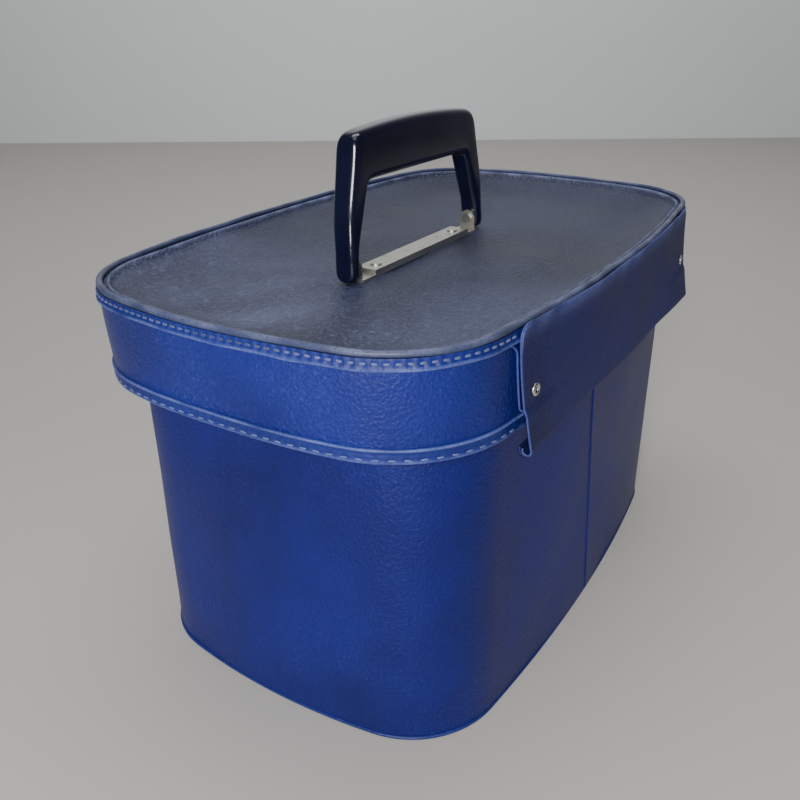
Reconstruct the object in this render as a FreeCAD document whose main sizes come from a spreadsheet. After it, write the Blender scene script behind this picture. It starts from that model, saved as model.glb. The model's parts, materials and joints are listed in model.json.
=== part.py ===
import FreeCAD, Part
import Sketcher
import math
import os
from FreeCAD import Placement, Rotation, Vector

# Vanity case: a bowed, round-cornered board tub covered in leathercloth, with an overhanging
# box lid on two hidden hinges, a folding handle, a mirror inside and a hasp with a slide bolt.
# Frame: +Z up, X along the case, the hinges at +Y and the hasp at -Y, the origin at the centre
# of the base. Millimetres.

SIZES = {
    # tub, measured over its cover
    "case_length": (308, "over the bowed ends"),
    "case_width": (200, "over the bowed long sides"),
    "case_corner": (47, "corner radius"),
    "case_end_arc": (340, "radius of the bowed ends"),
    "case_side_arc": (1000, "radius of the bowed long sides"),
    "rim_height": (161, "top of the rim binding"),
    "cover_thick": (1.0, "leathercloth"),
    "wall_thick": (3.5, "tub wall board"),
    "lining_thick": (0.8, "tub lining"),
    "base_sheet_thick": (1.2, "outer sheet under the base"),
    "base_board_thick": (3.5, "base board"),
    "base_pad_thick": (2.0, "lining pad on the base"),
    "bead_out": (1.0, "foot binding stands out"),
    "bead_height": (3.2, "foot binding height"),
    "rim_tape": (0.4, "rim binding thickness on the sides"),
    "rim_cap": (1.2, "rim binding thickness on top"),
    "rim_skirt": (6, "rim binding reaches down"),
    "lap_width": (12, "back seam lap"),
    "lap_thick": (0.7, "back seam lap stands out"),
    # lid, measured over its cover
    "lid_over_end": (16, "lid stands out past the tub at each end"),
    "lid_over_side": (5, "lid stands out past the tub at each side"),
    "lid_corner": (50, "corner radius"),
    "lid_end_arc": (260, "radius of the bowed ends"),
    "lid_side_arc": (1000, "radius of the bowed long sides"),
    "lid_overlap": (8.8, "lid reaches down past the rim"),
    "lid_height": (45.2, "lower edge to the crest of the welt"),
    "lid_board": (2.4, "lid band board"),
    "lid_lining": (0.4, "lid band lining"),
    "welt_height": (4.8, "welt, up from the band"),
    "welt_out": (1.2, "welt stands out from the band"),
    "binding_thick": (0.8, "binding strips on the band"),
    "top_binding_height": (5.1, "strip under the welt"),
    "low_binding_height": (6.4, "strip at the lower edge"),
    "panel_drop": (9.8, "middle of the dished top panel, below the welt"),
    "panel_cover": (1.2, "top cover over the board"),
    "panel_edge": (6.6, "top cover rises at its edge"),
    "panel_slope": (34, "width of the rise"),
    "top_board_thick": (3.0, "lid top board"),
    "top_lining_thick": (1.0, "lid top lining"),
    # back flap and its rivets
    "flap_end_in": (41, "turned end, in from the end of the tub"),
    "flap_gap": (0.9, "from the band to the flap"),
    "flap_thick": (1.2, "two layers of leathercloth"),
    "flap_hang": (8.0, "hangs below the lid"),
    "flap_drop": (5.0, "upper edge, below the welt"),
    "flap_rivet_in": (9, "rivet, in from the flap's end"),
    "flap_rivet_rise": (16.3, "rivet, above the lid's lower edge"),
    "flap_rivet_head": (2.9, "head radius"),
    "flap_rivet_bore": (1.1, "hollow of the rivet, radius"),
    # hinges
    "hinge_pitch": (100, "between the two hinges"),
    "hinge_width": (24, "leaf width"),
    "hinge_out": (1.6, "axis stands out from the tub"),
    "hinge_drop": (3.3, "axis, below the lid"),
    "knuckle": (2.0, "knuckle radius"),
    "knuckle_length": (6.5, "each outer knuckle"),
    "hinge_pin": (1.0, "pin radius"),
    "running_gap": (0.05, "radial clearance of turning pins"),
    "side_gap": (0.3, "between parts that turn past each other"),
    "case_leaf_depth": (4.4, "inner face of the case leaf, in from the cover"),
    "case_leaf_height": (20.9, "case leaf, below the axis"),
    "lid_leaf_depth": (3.9, "inner face of the lid leaf, in from the cover"),
    "lid_leaf_height": (19.8, "lid leaf, above the lid's lower edge"),
    "leaf_thick": (0.8, "leaf thickness"),
    "rivet": (1.2, "shank radius of the small rivets"),
    "rivet_head": (2.2, "head radius of the small rivets"),
    "rivet_head_thick": (0.5, "head thickness of the small rivets"),
    # handle
    "handle_shift": (20, "handle centre, along the case"),
    "pivot_rise": (6.9, "pivot, above the panel"),
    "handle_thick": (10, "grip thickness"),
    "handle_foot": (64.2, "half length at the foot, outside"),
    "handle_elbow": (62.3, "half length where the leg starts to lean in, outside"),
    "elbow_rise": (24.5, "there, above the pivot"),
    "handle_shoulder": (57.9, "half length at the shoulder, outside"),
    "shoulder_rise": (42.5, "shoulder, above the pivot"),
    "handle_top": (54.6, "half length of the top"),
    "top_rise": (57.6, "ends of the top, above the pivot"),
    "handle_crown": (1.8, "the top arches up"),
    "handle_lean": (3, "degrees, toward the hasp"),
    "gap_foot": (58.7, "half opening at the foot"),
    "gap_waist": (56.6, "half opening where it starts to close in"),
    "waist_rise": (9.0, "there, above the pivot"),
    "gap_top": (46.5, "half opening under the grip"),
    "gap_rise": (37.1, "underside of the grip, above the pivot"),
    "handle_corner": (8, "outer corner radius"),
    "gap_corner": (7, "inner corner radius"),
    "handle_edge": (2.2, "edge rounding"),
    "bar_length": (113, "base bar over its ears"),
    "bar_width": (11, "base bar"),
    "bar_foot": (1.2, "base bar foot thickness"),
    "channel_length": (92, "raised part of the bar"),
    "channel_rise": (3.4, "raised part above the panel"),
    "ear_thick": (1.2, "ear thickness"),
    "ear_radius": (4.4, "ear radius"),
    "handle_pin": (1.5, "handle pin radius"),
    "handle_pin_head": (2.5, "handle pin head radius"),
    "handle_pin_depth": (3.2, "pin's depth in the leg"),
    "bar_rivet_pitch": (75, "between the bar rivets"),
    "bar_rivet": (1.5, "bar rivet shank radius"),
    "bar_rivet_head": (2.7, "bar rivet head radius"),
    "bar_rivet_rise": (0.7, "bar rivet head thickness"),
    "backing_length": (110, "backing plate"),
    "backing_width": (18, "backing plate"),
    "backing_thick": (1.2, "backing plate"),
    # mirror
    "mirror_length": (190, "glass"),
    "mirror_width": (110, "glass"),
    "mirror_corner": (16, "glass corner radius"),
    "mirror_thick": (2.0, "glass"),
    "mirror_gap": (0.2, "round the glass"),
    "mirror_frame": (4.0, "frame width round the glass"),
    "mirror_lip": (3.0, "frame laps over the glass"),
    "mirror_lip_thick": (1.0, "lip thickness"),
    # hasp and slide bolt
    "lock_length": (44, "lock case"),
    "lock_drop": (32.2, "lower end of the lock case, below the lid's edge"),
    "lock_height": (23, "lock case"),
    "lock_depth": (6.6, "lock case stands out"),
    "lock_sheet": (0.8, "lock case metal"),
    "lock_lug": (6.5, "lug at each end"),
    "staple_slot": (7, "slot for the staple"),
    "staple_slot_depth": (19, "slot, down from the top"),
    "bolt_rise": (12, "slide bolt, above the end of the lock case"),
    "bolt_in": (4.0, "bolt centre, out from the tub"),
    "bolt": (1.6, "slide bolt radius"),
    "bolt_start": (1.8, "tip, from the middle"),
    "bolt_length": (16.5, "slide bolt"),
    "bolt_travel": (5, "slide bolt travel"),
    "knob_at": (14, "knob centre, from the middle"),
    "knob_length": (6, "knob along the travel"),
    "knob_height": (9, "knob"),
    "knob_out": (3.0, "knob stands out"),
    "stem": (1.4, "knob stem radius"),
    "guide_at": (4.2, "bolt guide, from the middle"),
    "guide_length": (3, "bolt guide"),
    "guide_height": (9, "bolt guide"),
    "hasp_width": (11, "hasp"),
    "hasp_thick": (1.2, "hasp"),
    "hasp_end_rise": (2, "lower end of the hasp, above the end of the lock case"),
    "hasp_gap": (0.6, "from the lock case to the hasp"),
    "hasp_knuckle": (1.8, "hasp knuckle radius"),
    "hasp_pin_radius": (0.9, "hasp pin radius"),
    "hasp_rise": (0.2, "hasp axis, above the lid's lower edge"),
    "hasp_out": (2.8, "hasp axis, out from the lid band"),
    "hasp_plate_length": (28, "hasp plate"),
    "hasp_plate_height": (20.6, "hasp plate, above the hasp axis"),
    "hasp_plate_thick": (1.0, "hasp plate"),
    "hasp_rivet_pitch": (18, "hasp plate rivets"),
    "hasp_rivet_rise": (13.6, "hasp plate rivets, above the hasp axis"),
    "staple_thick": (2.0, "staple along the case"),
    "staple_half": (5.0, "staple, half height"),
    "staple_reach": (5.4, "staple stands in from the hasp"),
    "eye_gap": (0.4, "round the bolt in the staple's eye"),
}

doc = FreeCAD.newDocument("vanity_case")
sheet = doc.addObject("Spreadsheet::Sheet", "sizes")
for line, (alias, (amount, note)) in enumerate(SIZES.items(), start=1):
    sheet.set("A%d" % line, alias)
    sheet.set("B%d" % line, str(amount))
    sheet.setAlias("B%d" % line, alias)
    sheet.set("C%d" % line, note)
doc.recompute()

# A length is written as signed terms of the sheet, such as "0.5*case_length -cover_thick".


def split_terms(text):
    for term in text.split():
        sign = -1.0 if term[0] == "-" else 1.0
        factor, _, alias = term.lstrip("+-").rpartition("*")
        yield sign * float(factor or 1), alias


def less(text):
    """The terms of a text with their signs turned round."""
    return " ".join("+" + term[1:] if term[0] == "-" else "-" + term.lstrip("+") for term in text.split())


def amount_of(text):
    return sum(factor * sheet.get(alias) for factor, alias in split_terms(text))


def formula(text):
    return " + ".join("%r * sizes.%s" % term for term in split_terms(text)) or "0"


def bind(item, prop, text):
    item.setExpression(prop, formula(text))


# ---- outlines and levels that the pieces share ----

OUTLINES = {
    "case": ("0.5*case_length", "0.5*case_width", "case_corner", "case_end_arc", "case_side_arc"),
    "lid": ("0.5*case_length +lid_over_end", "0.5*case_width +lid_over_side", "lid_corner",
            "lid_end_arc", "lid_side_arc"),
}
LID_SIDE = OUTLINES["lid"][1]
LID_LOW = "rim_height -lid_overlap"
LID_TOP = LID_LOW + " +lid_height"
PANEL = LID_TOP + " -panel_drop"
FLAP_LOW = LID_LOW + " -flap_hang"
FLAP_TOP = LID_TOP + " -flap_drop"
FLAP_HALF = "0.5*case_length -flap_end_in"
HINGE_OUT = "0.5*case_width +hinge_out"
HINGE_LEVEL = LID_LOW + " -hinge_drop"
CASE_LEAF_IN = "0.5*case_width -case_leaf_depth"
CASE_LEAF_LOW = HINGE_LEVEL + " -case_leaf_height"
LID_LEAF_IN = LID_SIDE + " -lid_leaf_depth"
LID_LEAF_HIGH = LID_LOW + " +lid_leaf_height"
PIVOT = PANEL + " +pivot_rise"
ELBOW = PIVOT + " +elbow_rise"
SHOULDER = PIVOT + " +shoulder_rise"
GRIP_TOP = PIVOT + " +top_rise"
GAP_TOP = PIVOT + " +gap_rise"
LOCK_LOW = LID_LOW + " -lock_drop"
BOLT_LEVEL = LOCK_LOW + " +bolt_rise"
HASP_LEVEL = LID_LOW + " +hasp_rise"
HASP_LOW = LOCK_LOW + " +hasp_end_rise"
HASP_PLATE_TOP = HASP_LEVEL + " +hasp_plate_height"
HASP_RIVET_LEVEL = HASP_LEVEL + " +hasp_rivet_rise"

# ---- building blocks ----

parts = {}


def keep(item, label):
    item.Label = label
    parts[label] = item
    return item


def corner_centre(half_length, half_width, corner, end_arc, side_arc):
    """Centre of the corner arc that is tangent to the end arc and to the side arc."""
    end = Vector(half_length - end_arc, 0, 0)
    side = Vector(0, half_width - side_arc, 0)
    apart = side - end
    reach, other = end_arc - corner, side_arc - corner
    along = (reach ** 2 - other ** 2 + apart.Length ** 2) / (2 * apart.Length)
    across = math.sqrt(reach ** 2 - along ** 2)
    unit = Vector(apart).normalize()
    return end + unit * along + Vector(-unit.y, unit.x, 0) * across


def add_outline(sketch, family, grow):
    """Eight tangent arcs: two bowed ends, two bowed sides, four corners, all grown by one offset."""
    length, width, bend, end_bow, side_bow = OUTLINES[family]
    half_length, half_width, corner, end_arc, side_arc = [
        amount_of(text + " " + grow) for text in OUTLINES[family]]
    hub = corner_centre(half_length, half_width, corner, end_arc, side_arc)
    end_angle = math.atan2(hub.y, hub.x - half_length + end_arc)
    side_angle = math.atan2(hub.x, hub.y - half_width + side_arc)
    quarter = math.pi / 2
    arcs = []
    for turn, sign_x, sign_y in ((0, 1, 1), (1, -1, 1), (2, -1, -1), (3, 1, -1)):
        start = turn * quarter
        if turn % 2 == 0:
            bow = (Vector(sign_x * (half_length - end_arc), 0, 0), end_arc, end_angle)
            spans = (start + end_angle, start + quarter - side_angle)
        else:
            bow = (Vector(0, sign_y * (half_width - side_arc), 0), side_arc, side_angle)
            spans = (start + side_angle, start + quarter - end_angle)
        arcs.append((bow[0], bow[1], start - bow[2], start + bow[2]))
        arcs.append((Vector(sign_x * hub.x, sign_y * hub.y, 0), corner, spans[0], spans[1]))
    first = sketch.GeometryCount
    up = Vector(0, 0, 1)
    for centre, radius, low, high in arcs:
        sketch.addGeometry(Part.ArcOfCircle(Part.Circle(centre, up, radius), low, high), False)
    for step in range(8):
        joint = (first + step, 2, first + (step + 1) % 8, 1)
        sketch.addConstraint(Sketcher.Constraint("Tangent", *joint))
    for end, side in ((first, first + 2), (first + 4, first + 6)):
        sketch.addConstraint(Sketcher.Constraint("PointOnObject", end, 3, -1))
        sketch.addConstraint(Sketcher.Constraint("PointOnObject", side, 3, -2))
    for one, two in ((0, 4), (2, 6), (1, 3), (3, 5), (5, 7)):
        sketch.addConstraint(Sketcher.Constraint("Equal", first + one, first + two))
    end_centre, side_centre = end_bow + " " + less(length), side_bow + " " + less(width)
    for what, text in ((("Radius", first), end_bow + " " + grow),
                       (("Radius", first + 2), side_bow + " " + grow),
                       (("Radius", first + 1), bend + " " + grow),
                       (("DistanceX", first, 3, -1, 1), end_centre),
                       (("DistanceX", -1, 1, first + 4, 3), end_centre),
                       (("DistanceY", first + 2, 3, -1, 1), side_centre),
                       (("DistanceY", -1, 1, first + 6, 3), side_centre)):
        number = sketch.addConstraint(Sketcher.Constraint(*what, amount_of(text)))
        sketch.setExpression("Constraints[%d]" % number, formula(text))


def origin_plane(body, role):
    return [part for part in body.Origin.OriginFeatures if part.Role == role][0]


def add_sketch(body, name, role, level=""):
    sketch = body.newObject("Sketcher::SketchObject", name)
    sketch.AttachmentSupport = [(origin_plane(body, role), "")]
    sketch.MapMode = "FlatFace"
    if level:
        sketch.setExpression(".AttachmentOffset.Base.z", formula(level))
    return sketch


def add_ring(body, family, outer, inner, bottom, top):
    """A pad between two offsets of one outline, or a plate where inner is None."""
    name = "%s_%d" % (body.Name, len(body.Group))
    sketch = add_sketch(body, name + "_outline", "XY_Plane", bottom)
    add_outline(sketch, family, outer)
    if inner is not None:
        add_outline(sketch, family, inner)
    pad = body.newObject("PartDesign::Pad", name + "_pad")
    pad.Profile = sketch
    bind(pad, "Length", top + " " + less(bottom))
    body.Tip = pad
    return pad


def shell(label, family, *rings):
    body = doc.addObject("PartDesign::Body", label + "_body")
    for ring in rings:
        add_ring(body, family, *ring)
    return body


def block(name, low, high):
    """A box between two corners, each a list of three lengths in sheet terms."""
    box = doc.addObject("Part::Box", name)
    for prop, axis, start, end in zip(("Length", "Width", "Height"), "xyz", low, high):
        bind(box, "Placement.Base." + axis, start)
        bind(box, prop, end + " " + less(start))
    return box


def rod(name, radius, length, start, direction):
    """A round bar from start along direction."""
    bar = doc.addObject("Part::Cylinder", name)
    bind(bar, "Radius", radius)
    bind(bar, "Height", length)
    bar.Placement = Placement(start, Rotation(Vector(0, 0, 1), direction))
    return bar


def join(name, shapes):
    fuse = doc.addObject("Part::MultiFuse", name)
    fuse.Shapes = shapes
    return fuse


def cut(name, base, tools):
    result = doc.addObject("Part::Cut", name)
    result.Base = base
    result.Tool = tools[0] if len(tools) == 1 else join(name + "_tools", tools)
    return result


def group(name, shapes):
    bundle = doc.addObject("Part::Compound", name)
    bundle.Links = shapes
    return bundle


def at(x, y, z):
    return Vector(amount_of(x), amount_of(y), amount_of(z))


ALONG, OUT_FRONT, INWARD, DOWN = Vector(1, 0, 0), Vector(0, -1, 0), Vector(0, 1, 0), Vector(0, 0, -1)

# ---- offsets and levels shared by the pieces ----

WALL_OUT = "-cover_thick"
WALL_IN = "-cover_thick -wall_thick"
LINING_IN = WALL_IN + " -lining_thick"
BASE_TOP = "base_sheet_thick +base_board_thick"
PAD_TOP = BASE_TOP + " +base_pad_thick"
WALL_TOP = "rim_height -rim_cap"
BAND_OUT = "-cover_thick"
BAND_IN = "-cover_thick -lid_board"
BAND_LINING_IN = BAND_IN + " -lid_lining"
BAND_TOP = LID_TOP + " -welt_height"
BOARD_TOP = PANEL + " -panel_cover"
BOARD_LOW = BOARD_TOP + " -top_board_thick"
LINING_LOW = BOARD_LOW + " -top_lining_thick"
FLOOR = "0*rim_height"

# ---- cutters that more than one piece shares ----


def arc_point(family, grow, x, side):
    """Point and outward direction on a bowed long side, at one place along the case."""
    half_width, side_arc = OUTLINES[family][1], OUTLINES[family][4]
    radius = amount_of(side_arc + " " + grow)
    centre = amount_of(half_width + " " + less(side_arc))
    angle = math.asin(x / radius)
    out = Vector(math.sin(angle), side * math.cos(angle), 0)
    return Vector(0, side * centre, 0) + out * radius, out


def pair(name, half, make):
    """One of the same thing on each side of the middle."""
    return [make("%s_%s" % (name, tag), sign * amount_of(half)) for tag, sign in
            (("left", -1), ("right", 1))]


def flap_rivet_rod(name, radius, length, grow):
    def make(label, x):
        point, out = arc_point("lid", grow, x, 1)
        point.z = amount_of(LID_LOW + " +flap_rivet_rise")
        return rod(label, radius, length, point, out * -1)
    return pair(name, FLAP_HALF + " -flap_rivet_in", make)


FLAP_OUT = "flap_gap +flap_thick"
FLAP_STACK = FLAP_OUT + " +cover_thick +lid_board +lid_lining"
FLAP_RIVET = "rivet +0.5*rivet"
flap_holes = flap_rivet_rod("flap_hole", FLAP_RIVET + " +running_gap", FLAP_STACK + " +lid_board", FLAP_OUT)


def hinge_rods(name, radius, length, y, levels):
    def make(label, x):
        rods = [rod("%s_%d" % (label, number), radius, length, Vector(x, amount_of(y), z), OUT_FRONT)
                for number, z in enumerate(levels)]
        return join(label, rods)
    return pair(name, "0.5*hinge_pitch", make)


def thirds(low, high):
    start, end = amount_of(low), amount_of(high)
    return [start + (end - start) * share for share in (0.3, 0.7)]


CASE_LEAF_OUT = CASE_LEAF_IN + " +leaf_thick"
LID_LEAF_OUT = LID_LEAF_IN + " +leaf_thick"
case_rivet_levels = thirds(CASE_LEAF_LOW, HINGE_LEVEL)
lid_rivet_levels = thirds(LID_LOW, LID_LEAF_HIGH)
case_rivet_holes = hinge_rods("case_rivet_hole", "rivet", "leaf_thick +leaf_thick", CASE_LEAF_OUT,
                              case_rivet_levels)
lid_rivet_holes = hinge_rods("lid_rivet_hole", "rivet", "leaf_thick +leaf_thick", LID_LEAF_OUT,
                             lid_rivet_levels)


def leaf_recess(name, inner, low, high):
    def make(label, x):
        recess = doc.addObject("Part::Box", label)
        bind(recess, "Length", "hinge_width +2*running_gap")
        bind(recess, "Width", "2*wall_thick")
        bind(recess, "Height", high + " " + less(low))
        corner = at("-0.5*hinge_width -running_gap", inner, low)
        recess.Placement = Placement(corner + Vector(x, 0, 0), Rotation())
        return recess
    return pair(name, "0.5*hinge_pitch", make)


case_recess = leaf_recess("case_recess", CASE_LEAF_IN, CASE_LEAF_LOW, HINGE_LEVEL + " +knuckle")
lid_recess = leaf_recess("lid_recess", LID_LEAF_IN, LID_LOW + " -knuckle", LID_LEAF_HIGH)


def tab_slots(label, x):
    """Slots through the tub cover for the two tabs of a case leaf."""
    slots = []
    for tag, sign in (("a", -1), ("b", 1)):
        slot = doc.addObject("Part::Box", "%s_%s" % (label, tag))
        bind(slot, "Length", "knuckle_length +2*side_gap")
        bind(slot, "Width", "4*wall_thick")
        bind(slot, "Height", "leaf_thick +2*side_gap")
        middle = sign * amount_of("0.5*hinge_width -0.5*knuckle_length")
        corner = at("-0.5*knuckle_length -side_gap", CASE_LEAF_IN,
                    HINGE_LEVEL + " -0.5*leaf_thick -side_gap")
        slot.Placement = Placement(corner + Vector(x + middle, 0, 0), Rotation())
        slots.append(slot)
    return join(label, slots)


cover_slots = pair("cover_slot", "0.5*hinge_pitch", tab_slots)

LOCK_FACE = "0.5*case_width +lock_depth"
LUG_PITCH = "lock_length +lock_lug"
LOCK_MIDDLE = LOCK_LOW + " +0.5*lock_height"


def front_rods(name, radius, length, pitch, y, z):
    def make(label, x):
        return rod(label, radius, length, Vector(x, -amount_of(y), amount_of(z)), INWARD)
    half = 0.5 * amount_of(pitch)
    return [make(name + "_left", -half), make(name + "_right", half)]


lock_holes = front_rods("lock_hole", "rivet", "lock_sheet +cover_thick +wall_thick +lining_thick",
                        LUG_PITCH, "0.5*case_width +lock_sheet", LOCK_MIDDLE)
HASP_PLATE_IN = LID_SIDE + " +binding_thick"
HASP_PLATE_OUT = HASP_PLATE_IN + " +hasp_plate_thick"
HASP_STACK = "hasp_plate_thick +binding_thick +cover_thick +lid_board +lid_lining"
hasp_holes = front_rods("hasp_hole", "rivet", HASP_STACK, "hasp_rivet_pitch", HASP_PLATE_OUT,
                        HASP_RIVET_LEVEL)


def bar_rods(name, radius, length, top):
    def make(label, x):
        start = Vector(x + amount_of("handle_shift"), 0, amount_of(top))
        return rod(label, radius, length, start, DOWN)
    return pair(name, "0.5*bar_rivet_pitch", make)


BAR_TOP = PANEL + " +channel_rise"
BAR_STACK = "channel_rise +panel_cover +top_board_thick"
bar_holes = bar_rods("bar_hole", "bar_rivet", BAR_STACK, BAR_TOP)

# ---- tub ----


def build_tub():
    base_sheet = shell("base_sheet", "case", (WALL_OUT, None, FLOOR, "base_sheet_thick"))
    keep(base_sheet, "base_sheet")
    base_board = shell("base_board", "case", (WALL_IN, None, "base_sheet_thick", BASE_TOP))
    keep(base_board, "base_board")
    wall = shell("wall", "case", (WALL_OUT, WALL_IN, "base_sheet_thick", WALL_TOP))
    keep(cut("wall_cut", wall, case_recess + case_rivet_holes + lock_holes), "wall_board")
    cover = shell("cover", "case", (FLOOR, WALL_OUT, FLOOR, WALL_TOP))
    lap = block("back_lap", ["-0.5*lap_width", "0.5*case_width -0.5*cover_thick", "bead_height"],
                ["0.5*lap_width", "0.5*case_width +lap_thick", LID_LOW + " -knuckle"])
    covered = join("cover_with_lap", [cover, lap])
    keep(cut("cover_cut", covered, cover_slots + lock_holes), "body_cover")
    bead = shell("bead", "case", ("bead_out", FLOOR, FLOOR, "bead_height"))
    keep(bead, "foot_binding")
    keep(shell("base_pad", "case", (WALL_IN, None, BASE_TOP, PAD_TOP)), "base_lining")
    lining = shell("lining", "case", (WALL_IN, LINING_IN, PAD_TOP, WALL_TOP))
    keep(cut("lining_cut", lining, lock_holes), "body_lining")
    skirt_low = "rim_height -rim_skirt"
    rim = shell("rim", "case", ("rim_tape", LINING_IN + " -rim_tape", WALL_TOP, "rim_height"),
                ("rim_tape", FLOOR, skirt_low, WALL_TOP),
                (LINING_IN, LINING_IN + " -rim_tape", skirt_low, WALL_TOP))
    keep(rim, "rim_binding")


# ---- lid ----


def build_lid():
    band = shell("band", "lid", (BAND_OUT, BAND_IN, LID_LOW, BAND_TOP))
    keep(cut("band_cut", band, lid_recess + lid_rivet_holes + flap_holes + hasp_holes), "lid_band_board")
    top = shell("top", "lid", (BAND_IN, None, BOARD_LOW, BOARD_TOP))
    backing = block("backing_recess", ["handle_shift -0.5*backing_length", "-0.5*backing_width", BOARD_LOW],
                    ["handle_shift +0.5*backing_length", "0.5*backing_width", BOARD_LOW + " +backing_thick"])
    keep(cut("top_cut", top, [backing] + bar_holes), "lid_top_board")
    keep(cut("panel_cut", dished_panel(), bar_holes), "lid_top_cover")
    keep(shell("welt", "lid", ("welt_out", BAND_IN, BAND_TOP, LID_TOP)), "lid_welt")
    skin = shell("band_cover", "lid", (FLOOR, WALL_OUT, LID_LOW, BAND_TOP))
    keep(cut("band_cover_cut", skin, flap_holes + hasp_holes), "lid_band_cover")
    strip = shell("strip", "lid", ("binding_thick", FLOOR, BAND_TOP + " -top_binding_height", BAND_TOP))
    keep(strip, "top_binding")
    hem = shell("hem", "lid", ("binding_thick", FLOOR, LID_LOW, LID_LOW + " +low_binding_height"))
    keep(hem, "lower_binding")
    keep(shell("top_lining", "lid", (BAND_IN, None, LINING_LOW, BOARD_LOW)), "lid_top_lining")
    inside = shell("band_lining", "lid", (BAND_IN, BAND_LINING_IN, LID_LOW, LINING_LOW))
    lining_holes = flap_holes + hasp_holes + lid_recess + lid_rivet_holes
    keep(cut("band_lining_cut", inside, lining_holes), "lid_band_lining")


def dished_panel():
    """The top cover: flat in the middle and rising in a long slope to its edge."""
    body = shell("panel", "lid", (BAND_IN, None, BOARD_TOP, PANEL + " +panel_edge"))
    edge = BAND_IN + " -welt_out"
    brim = add_sketch(body, "panel_brim", "XY_Plane", PANEL + " +panel_edge")
    add_outline(brim, "lid", edge)
    floor = add_sketch(body, "panel_floor", "XY_Plane", PANEL)
    add_outline(floor, "lid", edge + " -panel_slope")
    dish = body.newObject("PartDesign::SubtractiveLoft", "panel_dish")
    dish.Profile = brim
    dish.Sections = [floor]
    dish.Ruled = True
    body.Tip = dish
    return body


# ---- back flap, its rivets and the hinges ----


def build_flap():
    ring = shell("flap_ring", "lid", (FLAP_OUT, "flap_gap", FLAP_LOW, FLAP_TOP))
    window = block("flap_window", [less(FLAP_HALF), "0.5*case_width -lid_corner", FLAP_LOW],
                   [FLAP_HALF, "0.5*case_width +lid_corner", FLAP_TOP])
    sheet_piece = doc.addObject("Part::Common", "flap_sheet")
    sheet_piece.Base = ring
    sheet_piece.Tool = window
    keep(cut("flap_cut", sheet_piece, flap_holes), "back_flap")
    head_face = FLAP_OUT + " +rivet_head_thick"
    shanks = flap_rivet_rod("flap_shank", FLAP_RIVET, FLAP_STACK + " +rivet_head_thick", head_face)
    heads = flap_rivet_rod("flap_head", "flap_rivet_head", "rivet_head_thick", head_face)
    bores = flap_rivet_rod("flap_bore", "flap_rivet_bore", FLAP_STACK + " +2*lid_board",
                           FLAP_OUT + " +lid_board")
    rivets = [cut("flap_rivet_%d" % number, join("flap_rivet_solid_%d" % number, [head, shank]), [bore])
              for number, (head, shank, bore) in enumerate(zip(heads, shanks, bores))]
    keep(group("flap_rivet_group", rivets), "flap_rivets")


def knuckle_rod(name, x, radius, start, length):
    """A rod along the hinge axis; start is measured from the middle of the hinge."""
    base = Vector(x + amount_of(start), amount_of(HINGE_OUT), amount_of(HINGE_LEVEL))
    return rod(name, radius, length, base, ALONG)


def build_hinge(tag, sign):
    x = sign * amount_of("0.5*hinge_pitch")
    half = "0.5*hinge_width"
    plate = ["%s0.5*hinge_pitch -%s" % ("+" if sign > 0 else "-", half),
             "%s0.5*hinge_pitch +%s" % ("+" if sign > 0 else "-", half)]
    name = "case_leaf_" + tag
    outer = [("a", "-" + half, plate[0], plate[0] + " +knuckle_length"),
             ("b", half + " -knuckle_length", plate[1] + " -knuckle_length", plate[1])]
    pieces = [block(name + "_plate", [plate[0], CASE_LEAF_IN, CASE_LEAF_LOW],
                    [plate[1], CASE_LEAF_OUT, HINGE_LEVEL + " +0.5*leaf_thick"])]
    for mark, start, low, high in outer:
        pieces.append(block(name + "_tab_" + mark, [low, CASE_LEAF_IN, HINGE_LEVEL + " -0.5*leaf_thick"],
                            [high, HINGE_OUT, HINGE_LEVEL + " +0.5*leaf_thick"]))
        pieces.append(knuckle_rod(name + "_knuckle_" + mark, x, "knuckle", start, "knuckle_length"))
    bore = knuckle_rod(name + "_bore", x, "hinge_pin", "-" + half, "hinge_width")
    holes = [bore, case_rivet_holes[0 if sign < 0 else 1]]
    keep(cut(name, join(name + "_solid", pieces), holes), "hinge_case_leaf_" + tag)

    name = "lid_leaf_" + tag
    inner = "-" + half + " +knuckle_length +side_gap"
    span = "hinge_width -2*knuckle_length -2*side_gap"
    neck = [plate[0] + " +knuckle_length +side_gap", plate[1] + " -knuckle_length -side_gap"]
    pieces = [block(name + "_plate", [plate[0], LID_LEAF_IN, LID_LOW],
                    [plate[1], LID_LEAF_OUT, LID_LEAF_HIGH]),
              block(name + "_neck", [neck[0], LID_LEAF_IN, HINGE_LEVEL], [neck[1], LID_LEAF_OUT, LID_LOW]),
              knuckle_rod(name + "_knuckle", x, "knuckle", inner, span)]
    bore = knuckle_rod(name + "_bore", x, "hinge_pin +running_gap", "-" + half, "hinge_width")
    holes = [bore, lid_rivet_holes[0 if sign < 0 else 1]]
    keep(cut(name, join(name + "_solid", pieces), holes), "hinge_lid_leaf_" + tag)
    return knuckle_rod("hinge_pin_" + tag, x, "hinge_pin", "-" + half, "hinge_width")


def build_hinges():
    pins = [build_hinge(tag, sign) for tag, sign in (("left", -1), ("right", 1))]
    keep(group("hinge_pin_group", pins), "hinge_pins")
    for label, out, levels in (("hinge_case_rivets", CASE_LEAF_OUT, case_rivet_levels),
                               ("hinge_lid_rivets", LID_LEAF_OUT, lid_rivet_levels)):
        shanks = hinge_rods(label + "_shank", "rivet", "leaf_thick +leaf_thick", out, levels)
        heads = hinge_rods(label + "_head", "rivet_head", "rivet_head_thick", out + " +rivet_head_thick",
                           levels)
        rivets = [join("%s_%d" % (label, number), list(both)) for number, both in enumerate(zip(shanks, heads))]
        keep(group(label + "_group", rivets), label)


# ---- handle ----

SHIFT = "handle_shift"


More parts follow.
